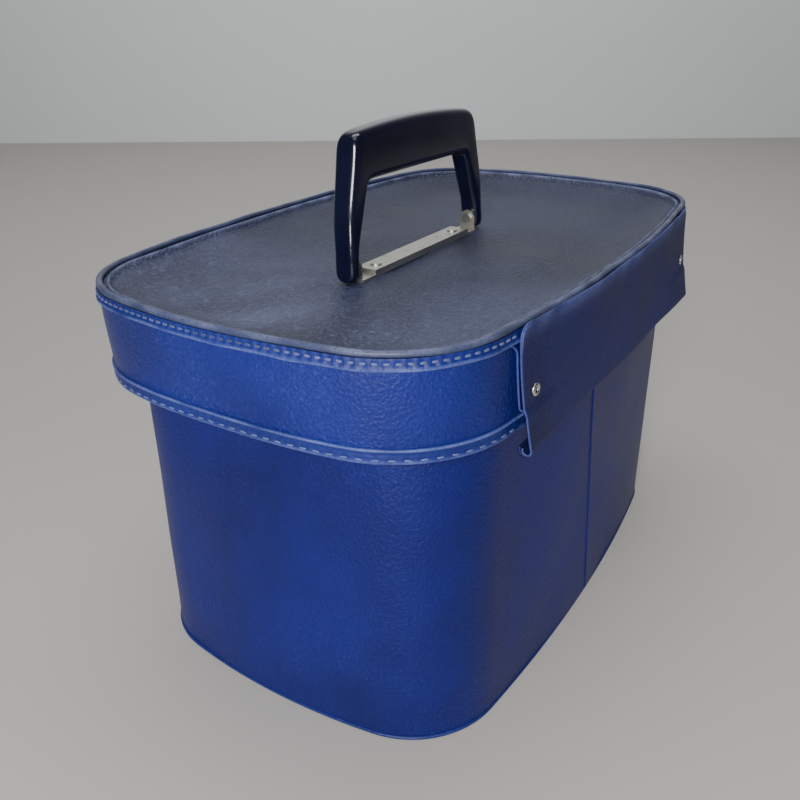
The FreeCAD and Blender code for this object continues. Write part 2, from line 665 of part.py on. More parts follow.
def handle_point(x, z):
    return Vector(amount_of(x), amount_of(z), 0)


def build_grip():
    body = doc.addObject("PartDesign::Body", "grip_body")
    sketch = add_sketch(body, "grip_profile", "XZ_Plane")
    below = PIVOT + " -handle_thick"
    waist = PIVOT + " +waist_rise"
    corners = [(SHIFT + " +handle_foot", below), (SHIFT + " +handle_elbow", ELBOW),
               (SHIFT + " +handle_shoulder", SHOULDER), (SHIFT + " +handle_top", GRIP_TOP),
               (SHIFT + " -handle_top", GRIP_TOP), (SHIFT + " -handle_shoulder", SHOULDER),
               (SHIFT + " -handle_elbow", ELBOW), (SHIFT + " -handle_foot", below),
               (SHIFT + " -gap_foot", below), (SHIFT + " -gap_waist", waist), (SHIFT + " -gap_top", GAP_TOP),
               (SHIFT + " +gap_top", GAP_TOP), (SHIFT + " +gap_waist", waist), (SHIFT + " +gap_foot", below)]
    arch = 3
    for number, (start, end) in enumerate(zip(corners, corners[1:] + corners[:1])):
        if number == arch:
            crown = handle_point(SHIFT, GRIP_TOP + " +handle_crown")
            sketch.addGeometry(Part.Arc(handle_point(*start), crown, handle_point(*end)), False)
        else:
            sketch.addGeometry(Part.LineSegment(handle_point(*start), handle_point(*end)), False)
    for number, (x, z) in enumerate(corners):
        joint = (number, 2, (number + 1) % len(corners), 1)
        sketch.addConstraint(Sketcher.Constraint("Coincident", *joint))
        for kind, text in (("DistanceX", x), ("DistanceY", z)):
            index = sketch.addConstraint(Sketcher.Constraint(kind, -1, 1, number, 1, amount_of(text)))
            sketch.setExpression("Constraints[%d]" % index, formula(text))
    index = sketch.addConstraint(Sketcher.Constraint("Radius", arch, sketch.Geometry[arch].Radius))
    sketch.setExpression("Constraints[%d]" % index,
                         "(sizes.handle_top^2 + sizes.handle_crown^2) / (2 * sizes.handle_crown)")
    pad = body.newObject("PartDesign::Pad", "grip_pad")
    pad.Profile = sketch
    pad.SideType = "Symmetric"
    bind(pad, "Length", "handle_thick")
    body.Tip = pad
    doc.recompute()
    outer, inner = amount_of(GRIP_TOP), amount_of(GAP_TOP)
    last = round_edges(body, pad, "grip_outer", "handle_corner",
                       lambda box: across(box) and box.ZMin > outer - 1)
    last = round_edges(body, last, "grip_inner", "gap_corner",
                       lambda box: across(box) and abs(box.ZMin - inner) < 1)
    low = amount_of(below)
    last = round_edges(body, last, "grip_edges", "handle_edge",
                       lambda box: box.YMax - box.YMin < 0.01 and box.ZMax - low > 1)
    foot = doc.addObject("PartDesign::Body", "grip_side_body")
    side = add_sketch(foot, "grip_side", "YZ_Plane")
    radius = amount_of("0.5*handle_thick")
    above = GRIP_TOP + " +2*handle_crown"
    pivot, top = amount_of(PIVOT), amount_of(above)
    side.addGeometry(Part.ArcOfCircle(Part.Circle(Vector(0, pivot, 0), Vector(0, 0, 1), radius),
                                      math.pi, 2 * math.pi), False)
    frame = [Vector(radius, pivot, 0), Vector(radius, top, 0), Vector(-radius, top, 0),
             Vector(-radius, pivot, 0)]
    for start, end in zip(frame, frame[1:]):
        side.addGeometry(Part.LineSegment(start, end), False)
    side.addConstraint(Sketcher.Constraint("Tangent", 0, 2, 1, 1))
    for number in (1, 2):
        side.addConstraint(Sketcher.Constraint("Coincident", number, 2, number + 1, 1))
    side.addConstraint(Sketcher.Constraint("Tangent", 3, 2, 0, 1))
    side.addConstraint(Sketcher.Constraint("Horizontal", 2))
    side.addConstraint(Sketcher.Constraint("PointOnObject", 0, 3, -2))
    for what, amount, text in ((("Radius", 0), radius, "0.5*handle_thick"),
                               (("DistanceY", -1, 1, 0, 3), pivot, PIVOT),
                               (("DistanceY", -1, 1, 1, 2), top, above)):
        index = side.addConstraint(Sketcher.Constraint(*what, amount))
        side.setExpression("Constraints[%d]" % index, formula(text))
    wide = foot.newObject("PartDesign::Pad", "grip_side_pad")
    wide.Profile = side
    wide.SideType = "Symmetric"
    bind(wide, "Length", "4*handle_foot")
    foot.Tip = wide
    lean = Rotation(ALONG, amount_of("handle_lean"))
    for piece in (body, foot):
        piece.Placement = Placement(Vector(), lean, Vector(0, 0, pivot))
    common = doc.addObject("Part::Common", "grip_shape")
    common.Base = body
    common.Tool = foot
    return common


def across(box):
    return box.XMax - box.XMin < 0.01 and box.ZMax - box.ZMin < 0.01


def round_edges(body, base, name, radius, wanted):
    edges = ["Edge%d" % number for number, edge in enumerate(base.Shape.Edges, start=1)
             if wanted(edge.BoundBox)]
    rounding = body.newObject("PartDesign::Fillet", name)
    rounding.Base = (base, edges)
    bind(rounding, "Radius", radius)
    body.Tip = rounding
    doc.recompute()
    return rounding


def pivot_rod(name, sign, radius, inner, length):
    """A rod along the handle's axis, outward from inner, measured from the handle's middle."""
    base = Vector(amount_of(SHIFT) + sign * amount_of(inner), 0, amount_of(PIVOT))
    return rod(name, radius, length, base, ALONG * sign)


def build_handle():
    ear_in = "0.5*bar_length -ear_thick"
    pin_in = ear_in + " -side_gap"
    pin_length = "ear_thick +side_gap +gap_foot -0.5*bar_length +handle_pin_depth"
    pins, holes, ear_holes, ears = [], [], [], []
    for tag, sign in (("left", -1), ("right", 1)):
        shank = pivot_rod("handle_shank_" + tag, sign, "handle_pin", pin_in, pin_length)
        head = pivot_rod("handle_head_" + tag, sign, "handle_pin_head", pin_in + " -ear_thick", "ear_thick")
        pins.append(join("handle_pin_" + tag, [shank, head]))
        holes.append(pivot_rod("grip_hole_" + tag, sign, "handle_pin", pin_in, pin_length))
        ear_holes.append(pivot_rod("ear_hole_" + tag, sign, "handle_pin +running_gap", "0.25*bar_length",
                                   "bar_length"))
        ears.append(pivot_rod("ear_round_" + tag, sign, "ear_radius", ear_in, "ear_thick"))
        ends = [SHIFT + " -0.5*bar_length", SHIFT + " -0.5*bar_length +ear_thick"]
        if sign > 0:
            ends = [SHIFT + " +" + ear_in, SHIFT + " +0.5*bar_length"]
        ears.append(block("ear_stem_" + tag, [ends[0], "-ear_radius", PANEL], [ends[1], "ear_radius", PIVOT]))
    keep(cut("grip_cut", build_grip(), holes), "handle_grip")
    keep(group("handle_pin_group", pins), "handle_pins")
    foot = block("bar_foot_plate", [SHIFT + " -0.5*bar_length", "-0.5*bar_width", PANEL],
                 [SHIFT + " +0.5*bar_length", "0.5*bar_width", PANEL + " +bar_foot"])
    channel = block("bar_channel", [SHIFT + " -0.5*channel_length", "-0.5*bar_width", PANEL],
                    [SHIFT + " +0.5*channel_length", "0.5*bar_width", BAR_TOP])
    hollow = block("bar_hollow", [SHIFT + " -0.5*channel_length +bar_foot", "-0.5*bar_width +bar_foot",
                                  PANEL + " -bar_foot"],
                   [SHIFT + " +0.5*channel_length -bar_foot", "0.5*bar_width -bar_foot",
                    BAR_TOP + " -bar_foot"])
    solid = cut("bar_shell", join("bar_solid", [foot, channel]), [hollow])
    keep(cut("bar_cut", join("bar_with_ears", [solid] + ears), ear_holes + bar_holes), "handle_base_bar")
    plate = block("backing_plate_block", [SHIFT + " -0.5*backing_length", "-0.5*backing_width", BOARD_LOW],
                  [SHIFT + " +0.5*backing_length", "0.5*backing_width", BOARD_LOW + " +backing_thick"])
    keep(cut("backing_cut", plate, bar_holes), "handle_backing_plate")
    shanks = bar_rods("bar_shank", "bar_rivet", BAR_STACK, BAR_TOP)
    heads = bar_rods("bar_head", "bar_rivet_head", "bar_rivet_rise", BAR_TOP + " +bar_rivet_rise")
    rivets = [join("bar_rivet_%d" % number, list(both)) for number, both in enumerate(zip(shanks, heads))]
    keep(group("bar_rivet_group", rivets), "handle_rivets")


# ---- mirror ----


def rounded_block(name, grow, low, high):
    """A slab with the mirror's outline grown all round."""
    half_length, half_width = "0.5*mirror_length " + grow, "0.5*mirror_width " + grow
    slab = block(name + "_slab", [less(half_length), less(half_width), low], [half_length, half_width, high])
    doc.recompute()
    rounding = doc.addObject("Part::Fillet", name)
    rounding.Base = slab
    radius = amount_of("mirror_corner " + grow)
    rounding.Edges = [(number, radius, radius) for number, edge in enumerate(slab.Shape.Edges, start=1)
                      if edge.BoundBox.ZLength > 0.5 * slab.Height.Value]
    return rounding


def build_mirror():
    glass_low = LINING_LOW + " -mirror_thick"
    frame_low = glass_low + " -mirror_lip_thick"
    keep(rounded_block("glass", "", glass_low, LINING_LOW), "mirror_glass")
    outer = rounded_block("frame_outer", "+mirror_gap +mirror_frame", frame_low, LINING_LOW)
    seat = rounded_block("frame_seat", "+mirror_gap", glass_low, LINING_LOW)
    sight = rounded_block("frame_sight", "-mirror_lip", frame_low, LINING_LOW)
    keep(cut("frame_cut", outer, [seat, sight]), "mirror_frame")


# ---- hasp and slide bolt ----


def build_lock():
    back = "-0.5*case_width"
    face = "-0.5*case_width -lock_depth"
    top = LOCK_LOW + " +lock_height"
    case = block("lock_block", ["-0.5*lock_length", face, LOCK_LOW], ["0.5*lock_length", back, top])
    lugs = block("lock_lugs",
                 ["-0.5*lock_length -lock_lug", back + " -lock_sheet", LOCK_LOW + " +0.25*lock_height"],
                 ["0.5*lock_length +lock_lug", back, LOCK_LOW + " +0.75*lock_height"])
    room = block("lock_room",
                 ["-0.5*lock_length +lock_sheet", face + " +lock_sheet", LOCK_LOW + " +lock_sheet"],
                 ["0.5*lock_length -lock_sheet", back, top + " -lock_sheet"])
    slot = block("lock_staple_slot", ["-0.5*staple_slot", face + " -lock_sheet", top + " -staple_slot_depth"],
                 ["0.5*staple_slot", back + " -lock_sheet", top + " +lock_sheet"])
    run = block("lock_knob_slot", ["knob_at -bolt_travel -stem -side_gap", face + " -lock_sheet",
                                   BOLT_LEVEL + " -stem -side_gap"],
                ["knob_at +stem +side_gap", face + " +2*lock_sheet", BOLT_LEVEL + " +stem +side_gap"])
    keep(cut("lock_cut", join("lock_solid", [case, lugs]), [room, slot, run] + lock_holes), "lock_case")
    shanks = front_rods("lock_shank", "rivet", "lock_sheet +cover_thick +wall_thick +lining_thick", LUG_PITCH,
                        "0.5*case_width +lock_sheet", LOCK_MIDDLE)
    heads = front_rods("lock_head", "rivet_head", "rivet_head_thick", LUG_PITCH,
                       "0.5*case_width +lock_sheet +rivet_head_thick", LOCK_MIDDLE)
    keep(group("lock_rivet_group", [join("lock_rivet_%d" % number, list(both))
                                    for number, both in enumerate(zip(shanks, heads))]), "lock_rivets")
    bolt_base = at("bolt_start", back + " -bolt_in", BOLT_LEVEL)
    guide = block("guide_block", ["guide_at", face + " +lock_sheet", BOLT_LEVEL + " -0.5*guide_height"],
                  ["guide_at +guide_length", back, BOLT_LEVEL + " +0.5*guide_height"])
    guide_bore = rod("guide_bore", "bolt +running_gap", "lock_length", bolt_base, ALONG)
    keep(cut("guide_cut", guide, [guide_bore]), "bolt_guide")
    keep(rod("bolt_rod", "bolt", "bolt_length", bolt_base, ALONG), "slide_bolt")
    knob_base = at("knob_at", back + " -bolt_in -bolt", BOLT_LEVEL)
    stem = rod("knob_stem", "stem", "lock_depth -bolt_in -bolt +side_gap", knob_base, OUT_FRONT)
    knob = block("knob_block", ["knob_at -0.5*knob_length", face + " -side_gap -knob_out",
                                BOLT_LEVEL + " -0.5*knob_height"],
                 ["knob_at +0.5*knob_length", face + " -side_gap", BOLT_LEVEL + " +0.5*knob_height"])
    keep(join("knob_solid", [knob, stem]), "bolt_knob")


def hasp_rod(name, radius, start, length):
    return rod(name, radius, length, at(start, less(LID_SIDE) + " -hasp_out", HASP_LEVEL), ALONG)


def build_hasp():
    plate_out = less(HASP_PLATE_OUT)
    plate = block("hasp_plate_block", ["-0.5*hasp_plate_length", plate_out, HASP_LEVEL],
                  ["0.5*hasp_plate_length", less(HASP_PLATE_IN), HASP_PLATE_TOP])
    roll = hasp_rod("hasp_plate_roll", "hasp_knuckle", "-0.5*hasp_plate_length", "hasp_plate_length")
    gap = block("hasp_plate_gap", ["-0.5*hasp_width -side_gap", less(LID_SIDE) + " -hasp_out -2*hasp_knuckle",
                                   HASP_LEVEL + " -2*hasp_knuckle"],
                ["0.5*hasp_width +side_gap", less(LID_SIDE) + " -0.5*binding_thick",
                 HASP_LEVEL + " +hasp_knuckle +side_gap"])
    bore = hasp_rod("hasp_plate_bore", "hasp_pin_radius", "-0.5*hasp_plate_length", "hasp_plate_length")
    keep(cut("hasp_plate_cut", join("hasp_plate_solid", [plate, roll]), [gap, bore] + hasp_holes), "hasp_plate")
    shanks = front_rods("hasp_shank", "rivet", HASP_STACK, "hasp_rivet_pitch", HASP_PLATE_OUT, HASP_RIVET_LEVEL)
    heads = front_rods("hasp_head", "rivet_head", "rivet_head_thick", "hasp_rivet_pitch",
                       HASP_PLATE_OUT + " +rivet_head_thick", HASP_RIVET_LEVEL)
    keep(group("hasp_rivet_group", [join("hasp_rivet_%d" % number, list(both))
                                    for number, both in enumerate(zip(shanks, heads))]), "hasp_rivets")
    pin = hasp_rod("hasp_pin_rod", "hasp_pin_radius", "-0.5*hasp_plate_length", "hasp_plate_length")
    keep(pin, "hasp_pin")
    inner = "-0.5*case_width -lock_depth -hasp_gap"
    tongue = block("hasp_tongue", ["-0.5*hasp_width", inner + " -hasp_thick", HASP_LOW],
                   ["0.5*hasp_width", inner, HASP_LEVEL])
    knuckle = hasp_rod("hasp_knuckle_rod", "hasp_knuckle", "-0.5*hasp_width", "hasp_width")
    staple = block("hasp_staple", ["-0.5*staple_thick", inner, BOLT_LEVEL + " -staple_half"],
                   ["0.5*staple_thick", inner + " +staple_reach", BOLT_LEVEL + " +staple_half"])
    eye_base = at("-0.5*staple_slot", "-0.5*case_width -bolt_in", BOLT_LEVEL)
    eye = rod("hasp_eye", "bolt +eye_gap", "staple_slot", eye_base, ALONG)
    hole = hasp_rod("hasp_bore", "hasp_pin_radius +running_gap", "-0.5*hasp_width", "hasp_width")
    keep(cut("hasp_cut", join("hasp_solid", [tongue, knuckle, staple]), [eye, hole]), "hasp")


build_tub()
build_lid()
build_flap()
build_hinges()
build_handle()
build_mirror()
build_lock()
build_hasp()
doc.recompute()

# ---- check and write ----

failed = [item.Label for item in doc.Objects if "Invalid" in item.State or "Error" in item.State]
if failed:
    raise RuntimeError("these objects failed: %s" % ", ".join(failed))
os.makedirs("parts", exist_ok=True)
for label, item in parts.items():
    if item.Shape.isNull() or not item.Shape.isValid() or not item.Shape.Solids:
        raise RuntimeError("%s has no valid solid" % label)
for label, item in parts.items():
    item.Shape.exportStep(os.path.join("parts", label + ".step"))
    print("%-24s %2d solids %12.1f mm3" % (label, len(item.Shape.Solids), item.Shape.Volume))
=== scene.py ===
import json
import math

import bpy
import numpy as np
from mathutils import Matrix, Vector


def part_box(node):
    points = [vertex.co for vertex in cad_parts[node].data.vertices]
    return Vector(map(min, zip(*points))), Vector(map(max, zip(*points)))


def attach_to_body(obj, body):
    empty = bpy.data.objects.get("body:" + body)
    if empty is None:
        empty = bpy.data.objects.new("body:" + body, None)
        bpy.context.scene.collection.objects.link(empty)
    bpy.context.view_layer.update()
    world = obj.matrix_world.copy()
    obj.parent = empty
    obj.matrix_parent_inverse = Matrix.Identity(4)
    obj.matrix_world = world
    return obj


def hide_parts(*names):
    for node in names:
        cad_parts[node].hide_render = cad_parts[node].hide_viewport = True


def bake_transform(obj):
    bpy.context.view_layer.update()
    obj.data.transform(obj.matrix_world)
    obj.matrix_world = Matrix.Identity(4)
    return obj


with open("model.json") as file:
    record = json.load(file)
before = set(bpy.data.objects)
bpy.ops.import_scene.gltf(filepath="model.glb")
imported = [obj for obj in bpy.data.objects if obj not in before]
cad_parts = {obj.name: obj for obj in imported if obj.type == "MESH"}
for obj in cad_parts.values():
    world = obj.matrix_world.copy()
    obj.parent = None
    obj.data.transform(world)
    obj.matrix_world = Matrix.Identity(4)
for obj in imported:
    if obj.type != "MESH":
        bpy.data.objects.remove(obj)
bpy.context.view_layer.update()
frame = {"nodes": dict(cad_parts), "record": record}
print("frame loaded")

# Lengths in this script are millimetres in the frame's axes; addMesh turns them into metres.


def nodeBox(name):
    low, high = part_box(name)
    return np.array(low) * 1000, np.array(high) * 1000


# points is (n, 3); faces is a list of integer arrays, each with one row per face.
def addMesh(name, points, faces, smooth=True):
    kept = []
    for block in faces:
        block = np.asarray(block)
        if block.shape[1] == 4:
            corners = points[block]
            joined = np.linalg.norm(corners - np.roll(corners, -1, axis=1), axis=2) < 1e-6
            for side in range(4):
                picked = block[joined[:, side] & (joined.sum(1) == 1)]
                kept.append(np.delete(picked, side, axis=1))
            block = block[~joined.any(axis=1)]
        kept.append(block)
    kept = [block for block in kept if len(block)]
    mesh = bpy.data.meshes.new(name)
    sizes = np.concatenate([np.full(len(block), block.shape[1]) for block in kept])
    corners = np.concatenate([block.ravel() for block in kept])
    mesh.vertices.add(len(points))
    mesh.vertices.foreach_set("co", (points * 0.001).astype(np.float32).ravel())
    mesh.loops.add(len(corners))
    mesh.loops.foreach_set("vertex_index", corners.astype(np.int32))
    mesh.polygons.add(len(sizes))
    starts = np.concatenate([[0], np.cumsum(sizes)[:-1]])
    mesh.polygons.foreach_set("loop_start", starts.astype(np.int32))
    mesh.update(calc_edges=True)
    mesh.validate()
    item = bpy.data.objects.new(name, mesh)
    bpy.context.scene.collection.objects.link(item)
    merge = item.modifiers.new("merge", "WELD")
    merge.merge_threshold = 1e-6
    mesh.polygons.foreach_set("use_smooth", np.full(len(mesh.polygons), smooth))
    return item


# Quads of a grid whose rows run up and whose columns run counter-clockwise, facing outward.
def gridFaces(rows, columns, closed, start=0):
    index = start + np.arange(rows * columns).reshape(rows, columns)
    right = np.roll(index, -1, axis=1)
    if not closed:
        index, right = index[:, :-1], right[:, :-1]
    quads = np.stack([index[:-1], right[:-1], right[1:], index[1:]], axis=-1)
    return quads.reshape(-1, 4)


def addGrid(name, points, closed):
    rows, columns = points.shape[:2]
    return addMesh(name, points.reshape(-1, 3), [gridFaces(rows, columns, closed)])


# Nine tangent arcs of a bowed, round-cornered outline, from the middle of the back round to it.
# Each is (centre x, centre y, radius, start angle, end angle).
def outlineArcs(halfLength, halfWidth, corner, endArc, sideArc, backCorner=None):
    sideCentre, endCentre = halfWidth - sideArc, halfLength - endArc

    def hub(radius):
        apart = np.array([-endCentre, sideCentre])
        gap = np.hypot(*apart)
        reach, other = endArc - radius, sideArc - radius
        along = (reach ** 2 - other ** 2 + gap ** 2) / (2 * gap)
        across = math.sqrt(reach ** 2 - along ** 2)
        unit = apart / gap
        x, y = np.array([endCentre, 0]) + unit * along + np.array([-unit[1], unit[0]]) * across
        return x, y, math.atan2(y, x - endCentre), math.atan2(x, y - sideCentre)

    back = backCorner or corner
    bx, by, bEnd, bSide = hub(back)
    fx, fy, fEnd, fSide = hub(corner)
    quarter = math.pi / 2
    return np.array([
        (0, sideCentre, sideArc, quarter, quarter + bSide),
        (-bx, by, back, quarter + bSide, 2 * quarter - bEnd),
        (-endCentre, 0, endArc, 2 * quarter - bEnd, 2 * quarter + fEnd),
        (-fx, -fy, corner, 2 * quarter + fEnd, 3 * quarter - fSide),
        (0, -sideCentre, sideArc, 3 * quarter - fSide, 3 * quarter + fSide),
        (fx, -fy, corner, 3 * quarter + fSide, 4 * quarter - fEnd),
        (endCentre, 0, endArc, 4 * quarter - fEnd, 4 * quarter + bEnd),
        (bx, by, back, 4 * quarter + bEnd, 5 * quarter - bSide),
        (0, sideCentre, sideArc, 5 * quarter - bSide, 5 * quarter)])


def arcLengths(arcs):
    return np.concatenate([[0], np.cumsum(arcs[:, 2] * (arcs[:, 4] - arcs[:, 3]))])


# Points and outward directions; place is an arc's number plus the share of it that is passed.
def ringAt(arcs, place, out=0.0):
    number = np.clip(np.floor(place).astype(int), 0, 8)
    centre, radius = arcs[number, :2], arcs[number, 2]
    angle = arcs[number, 3] + (place - number) * (arcs[number, 4] - arcs[number, 3])
    facing = np.stack([np.cos(angle), np.sin(angle)], axis=-1)
    return centre + facing * (radius + out)[..., None], facing


def placesAlong(arcs, lengths):
    total = arcLengths(arcs)
    return np.interp(lengths, total, np.arange(10.0))


def evenPlaces(arcs, count):
    return placesAlong(arcs, np.arange(count) / count * arcLengths(arcs)[-1])


# rows is a list of (out, z, share of the top outline): each point is the mix of the two outlines
# at its place, moved outward by out and set at z.
def sweepRing(lowArcs, topArcs, places, rows):
    layers = []
    for out, z, share in rows:
        low, lowFacing = ringAt(lowArcs, places, np.full(places.shape, out, float))
        top, topFacing = ringAt(topArcs, places, np.full(places.shape, out, float))
        flat = low * (1 - share) + top * share
        layers.append(np.column_stack([flat, np.full(len(places), float(z))]))
    return np.array(layers)


goldenAngle = 2.39996


# A slow unevenness: the mean of six sine waves in fixed, well-spread directions.
def waver(points, size, amount, seed=0):
    total = np.zeros(points.shape[:-1])
    for step in range(6):
        turn = goldenAngle * (step + 1) + seed
        facing = np.array([math.cos(turn), math.sin(turn), math.cos(1.7 * turn + 0.4)])
        wave = points @ facing * (2 * math.pi / size) * (0.7 + 0.12 * step)
        total += np.sin(wave + 1.3 * step + seed)
    return total * amount / 2.4


def smoothStep(value):
    value = np.clip(value, 0, 1)
    return value * value * (3 - 2 * value)


# Rows along an arc of a profile, its angle in degrees measured from outward toward up.
def arcRows(centreOut, centreZ, radius, start, end, count, share=0.0):
    angles = np.radians(np.linspace(start, end, count))
    return [(centreOut + radius * math.cos(angle), centreZ + radius * math.sin(angle), share)
            for angle in angles]


# A round tube along a path; an open one is closed by a point at each end.
def tubeAlong(name, path, radii, sides=10, closed=False, up=(0, 0, 1)):
    path = np.asarray(path, float)
    ahead = np.roll(path, -1, axis=0) - np.roll(path, 1, axis=0)
    if not closed:
        ahead[0], ahead[-1] = path[1] - path[0], path[-1] - path[-2]
    ahead /= np.linalg.norm(ahead, axis=1)[:, None]
    side = np.cross(ahead, np.asarray(up, float))
    side /= np.linalg.norm(side, axis=1)[:, None]
    third = np.cross(side, ahead)
    turn = np.linspace(0, 2 * math.pi, sides, endpoint=False)
    radii = np.broadcast_to(np.asarray(radii, float), (len(path),))
    around = (np.cos(turn)[None, :, None] * side[:, None]
              + np.sin(turn)[None, :, None] * third[:, None])
    points = path[:, None] + around * radii[:, None, None]
    if closed:
        points = np.concatenate([points, points[:1]])
    else:
        start, end = (np.repeat(part[:, None], sides, 1) for part in (path[:1], path[-1:]))
        points = np.concatenate([start, points, end])
    return addGrid(name, points, True)


# Threads as small capsules: four rings of six points and a point at each end, one per place.
def addStitches(name, places, facing, ahead, size):
    length, width, height = size
    stations = np.array([-0.42, -0.2, 0.2, 0.42])
    swell = np.array([0.72, 1.0, 1.0, 0.72])
    turn = np.linspace(0, 2 * math.pi, 6, endpoint=False)
    ring = np.stack(np.broadcast_arrays(stations[:, None] * length,
                                        np.cos(turn)[None] * swell[:, None] * width / 2,
                                        np.sin(turn)[None] * swell[:, None] * height / 2), axis=-1)
    local = np.concatenate([[[-length / 2, 0, 0]], ring.reshape(-1, 3), [[length / 2, 0, 0]]])
    across = np.cross(facing, ahead)
    points = (places[:, None] + local[None, :, :1] * ahead[:, None]
              + local[None, :, 1:2] * across[:, None] + local[None, :, 2:] * facing[:, None])
    quads = gridFaces(4, 6, True, 1)[:, ::-1]
    first = 1 + np.arange(6)
    last = 19 + np.arange(6)
    caps = np.concatenate([np.stack([np.zeros(6, int), first, np.roll(first, -1)], -1),
                           np.stack([np.full(6, 25), np.roll(last, -1), last], -1)])
    shift = 26 * np.arange(len(places))[:, None, None]
    return addMesh(name, points.reshape(-1, 3), [(quads[None] + shift).reshape(-1, 4),
                                                 (caps[None] + shift).reshape(-1, 3)])


# Writes how worn each row of a grid is, and how much painted highlight it takes along crests and
# folds, uneven along it.
def markWearAndHighlight(item, rowShares, points, seed=0.0):
    share = np.asarray(rowShares, float)[:, None] * (1 + waver(points, 17.0, 0.35, seed))
    mark = item.data.attributes.new("wearAndHighlight", "FLOAT", "POINT")
    mark.data.foreach_set("value", np.clip(share, 0, 1).astype(np.float32).ravel())


def attach(item, body, material, nodes=()):
    item.data.materials.append(material)
    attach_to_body(item, body)
    if nodes:
        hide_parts(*nodes)
    return item


# Builds one material from noise, grain, and wear and painted highlights, on the object's own
# coordinates.
class Paint:
    def __init__(self, name, roughness=0.5, metallic=0.0):
        self.material = bpy.data.materials.new(name)
        self.material.use_nodes = True
        self.nodes = self.material.node_tree.nodes
        self.links = self.material.node_tree.links
        self.shader = self.nodes["Principled BSDF"]
        self.shader.inputs["Roughness"].default_value = roughness
        self.shader.inputs["Metallic"].default_value = metallic
        self.place = self.nodes.new("ShaderNodeTexCoord").outputs["Object"]

    def put(self, socket, value):
        if isinstance(value, bpy.types.NodeSocket):
            self.links.new(value, socket)
        elif isinstance(value, tuple) and len(value) == 3 and socket.type == "RGBA":
            socket.default_value = (*value, 1)
        else:
            socket.default_value = value

    def stretched(self, scale):
        node = self.nodes.new("ShaderNodeMapping")
        node.inputs["Scale"].default_value = scale
        self.links.new(self.place, node.inputs["Vector"])
        return node.outputs["Vector"]

    def noise(self, scale, detail=3.0, rough=0.5, place=None, distortion=0.0):
        node = self.nodes.new("ShaderNodeTexNoise")
        self.links.new(place or self.place, node.inputs["Vector"])
        node.inputs["Scale"].default_value = scale
        node.inputs["Detail"].default_value = detail
        node.inputs["Roughness"].default_value = rough
        node.inputs["Distortion"].default_value = distortion
        return node.outputs["Fac"]

    def cells(self, scale, smooth):
        node = self.nodes.new("ShaderNodeTexVoronoi")
        node.feature = "SMOOTH_F1"
        self.links.new(self.place, node.inputs["Vector"])
        node.inputs["Scale"].default_value = scale
        node.inputs["Smoothness"].default_value = smooth
        return node.outputs["Distance"]

    def spread(self, value, low, high, bottom=0.0, top=1.0):
        node = self.nodes.new("ShaderNodeMapRange")
        node.interpolation_type = "SMOOTHSTEP"
        self.links.new(value, node.inputs["Value"])
        limits = {"From Min": low, "From Max": high, "To Min": bottom, "To Max": top}
        for name, amount in limits.items():
            node.inputs[name].default_value = amount
        return node.outputs["Result"]

    def maths(self, kind, first, second=0.0):
        node = self.nodes.new("ShaderNodeMath")
        node.operation = kind
        self.put(node.inputs[0], first)
        self.put(node.inputs[1], second)
        return node.outputs[0]

    def mix(self, share, first, second):
        node = self.nodes.new("ShaderNodeMix")
        node.data_type = "RGBA"
        self.put(node.inputs["Factor"], share)
        self.put(node.inputs[6], first)
        self.put(node.inputs[7], second)
        return node.outputs[2]

    # The share of wear and painted highlight written on the piece's own points; none where a piece has
    # no such marks.
    def wearAndHighlight(self):
        node = self.nodes.new("ShaderNodeAttribute")
        node.attribute_name = "wearAndHighlight"
        return node.outputs["Fac"]

    def along(self, axis):
        split = self.nodes.new("ShaderNodeSeparateXYZ")
        self.links.new(self.place, split.inputs["Vector"])
        return split.outputs["XYZ".index(axis)]

    def bump(self, value, distance, strength=1.0, below=None):
        node = self.nodes.new("ShaderNodeBump")
        node.inputs["Distance"].default_value = distance
        node.inputs["Strength"].default_value = strength
        self.links.new(value, node.inputs["Height"])
        if below is not None:
            self.links.new(below, node.inputs["Normal"])
        return node.outputs["Normal"]

    def finish(self, colour, roughness=None, normal=None):
        self.put(self.shader.inputs["Base Color"], colour)
        if roughness is not None:
            self.put(self.shader.inputs["Roughness"], roughness)
        if normal is not None:
            self.links.new(normal, self.shader.inputs["Normal"])
        return self.material


# Embossed vinyl: crinkled grain, slow colour drift, light specks on the grain's crests that are rub
# wear and painted glints, and light lines along folds and crests that are wear and painted highlight.
def leathercloth(name, colour, shade, wearAndHighlightColour, rubAndGlintShare, grain, rough):
    paint = Paint(name)
    pebble = paint.cells(grain["scale"], 0.3)
    fine = paint.noise(grain["scale"] * 1.7, 3.0, 0.65, distortion=0.8)
    drift = paint.noise(13.0, 3.0, 0.55)
    zone = paint.spread(paint.noise(17.0, 3.0, 0.55), 0.36, 0.68, 0.12, 1.0)
    speck = paint.spread(paint.noise(grain["scale"] * 1.1, 4.0, 0.75, distortion=0.25), 0.46, 0.78)
    # Light specks on the grain in broad patches: rub wear and painted glints.
    rubAndGlint = paint.maths("MULTIPLY", paint.maths("MULTIPLY", zone, speck), rubAndGlintShare)
    # From the piece's own marks: wear along folds and a painted highlight on their crests.
    foldWearAndHighlight = paint.maths("MULTIPLY", paint.wearAndHighlight(), paint.spread(fine, 0.3, 0.6, 0.45, 1.0))
    base = paint.mix(paint.spread(drift, 0.3, 0.7), shade, colour)
    tone = paint.mix(paint.maths("MAXIMUM", rubAndGlint, foldWearAndHighlight), base, wearAndHighlightColour)
    gloss = paint.maths("ADD", paint.spread(drift, 0.25, 0.75, rough[0], rough[1]),
                        paint.maths("MULTIPLY", fine, 0.12))
    large = paint.bump(pebble, grain["depth"], grain["strength"])
    small = paint.bump(fine, grain["depth"] * 0.8, 0.7, large)
    paint.shader.inputs["Specular IOR Level"].default_value = grain["shine"]
    return paint.finish(tone, gloss, small)
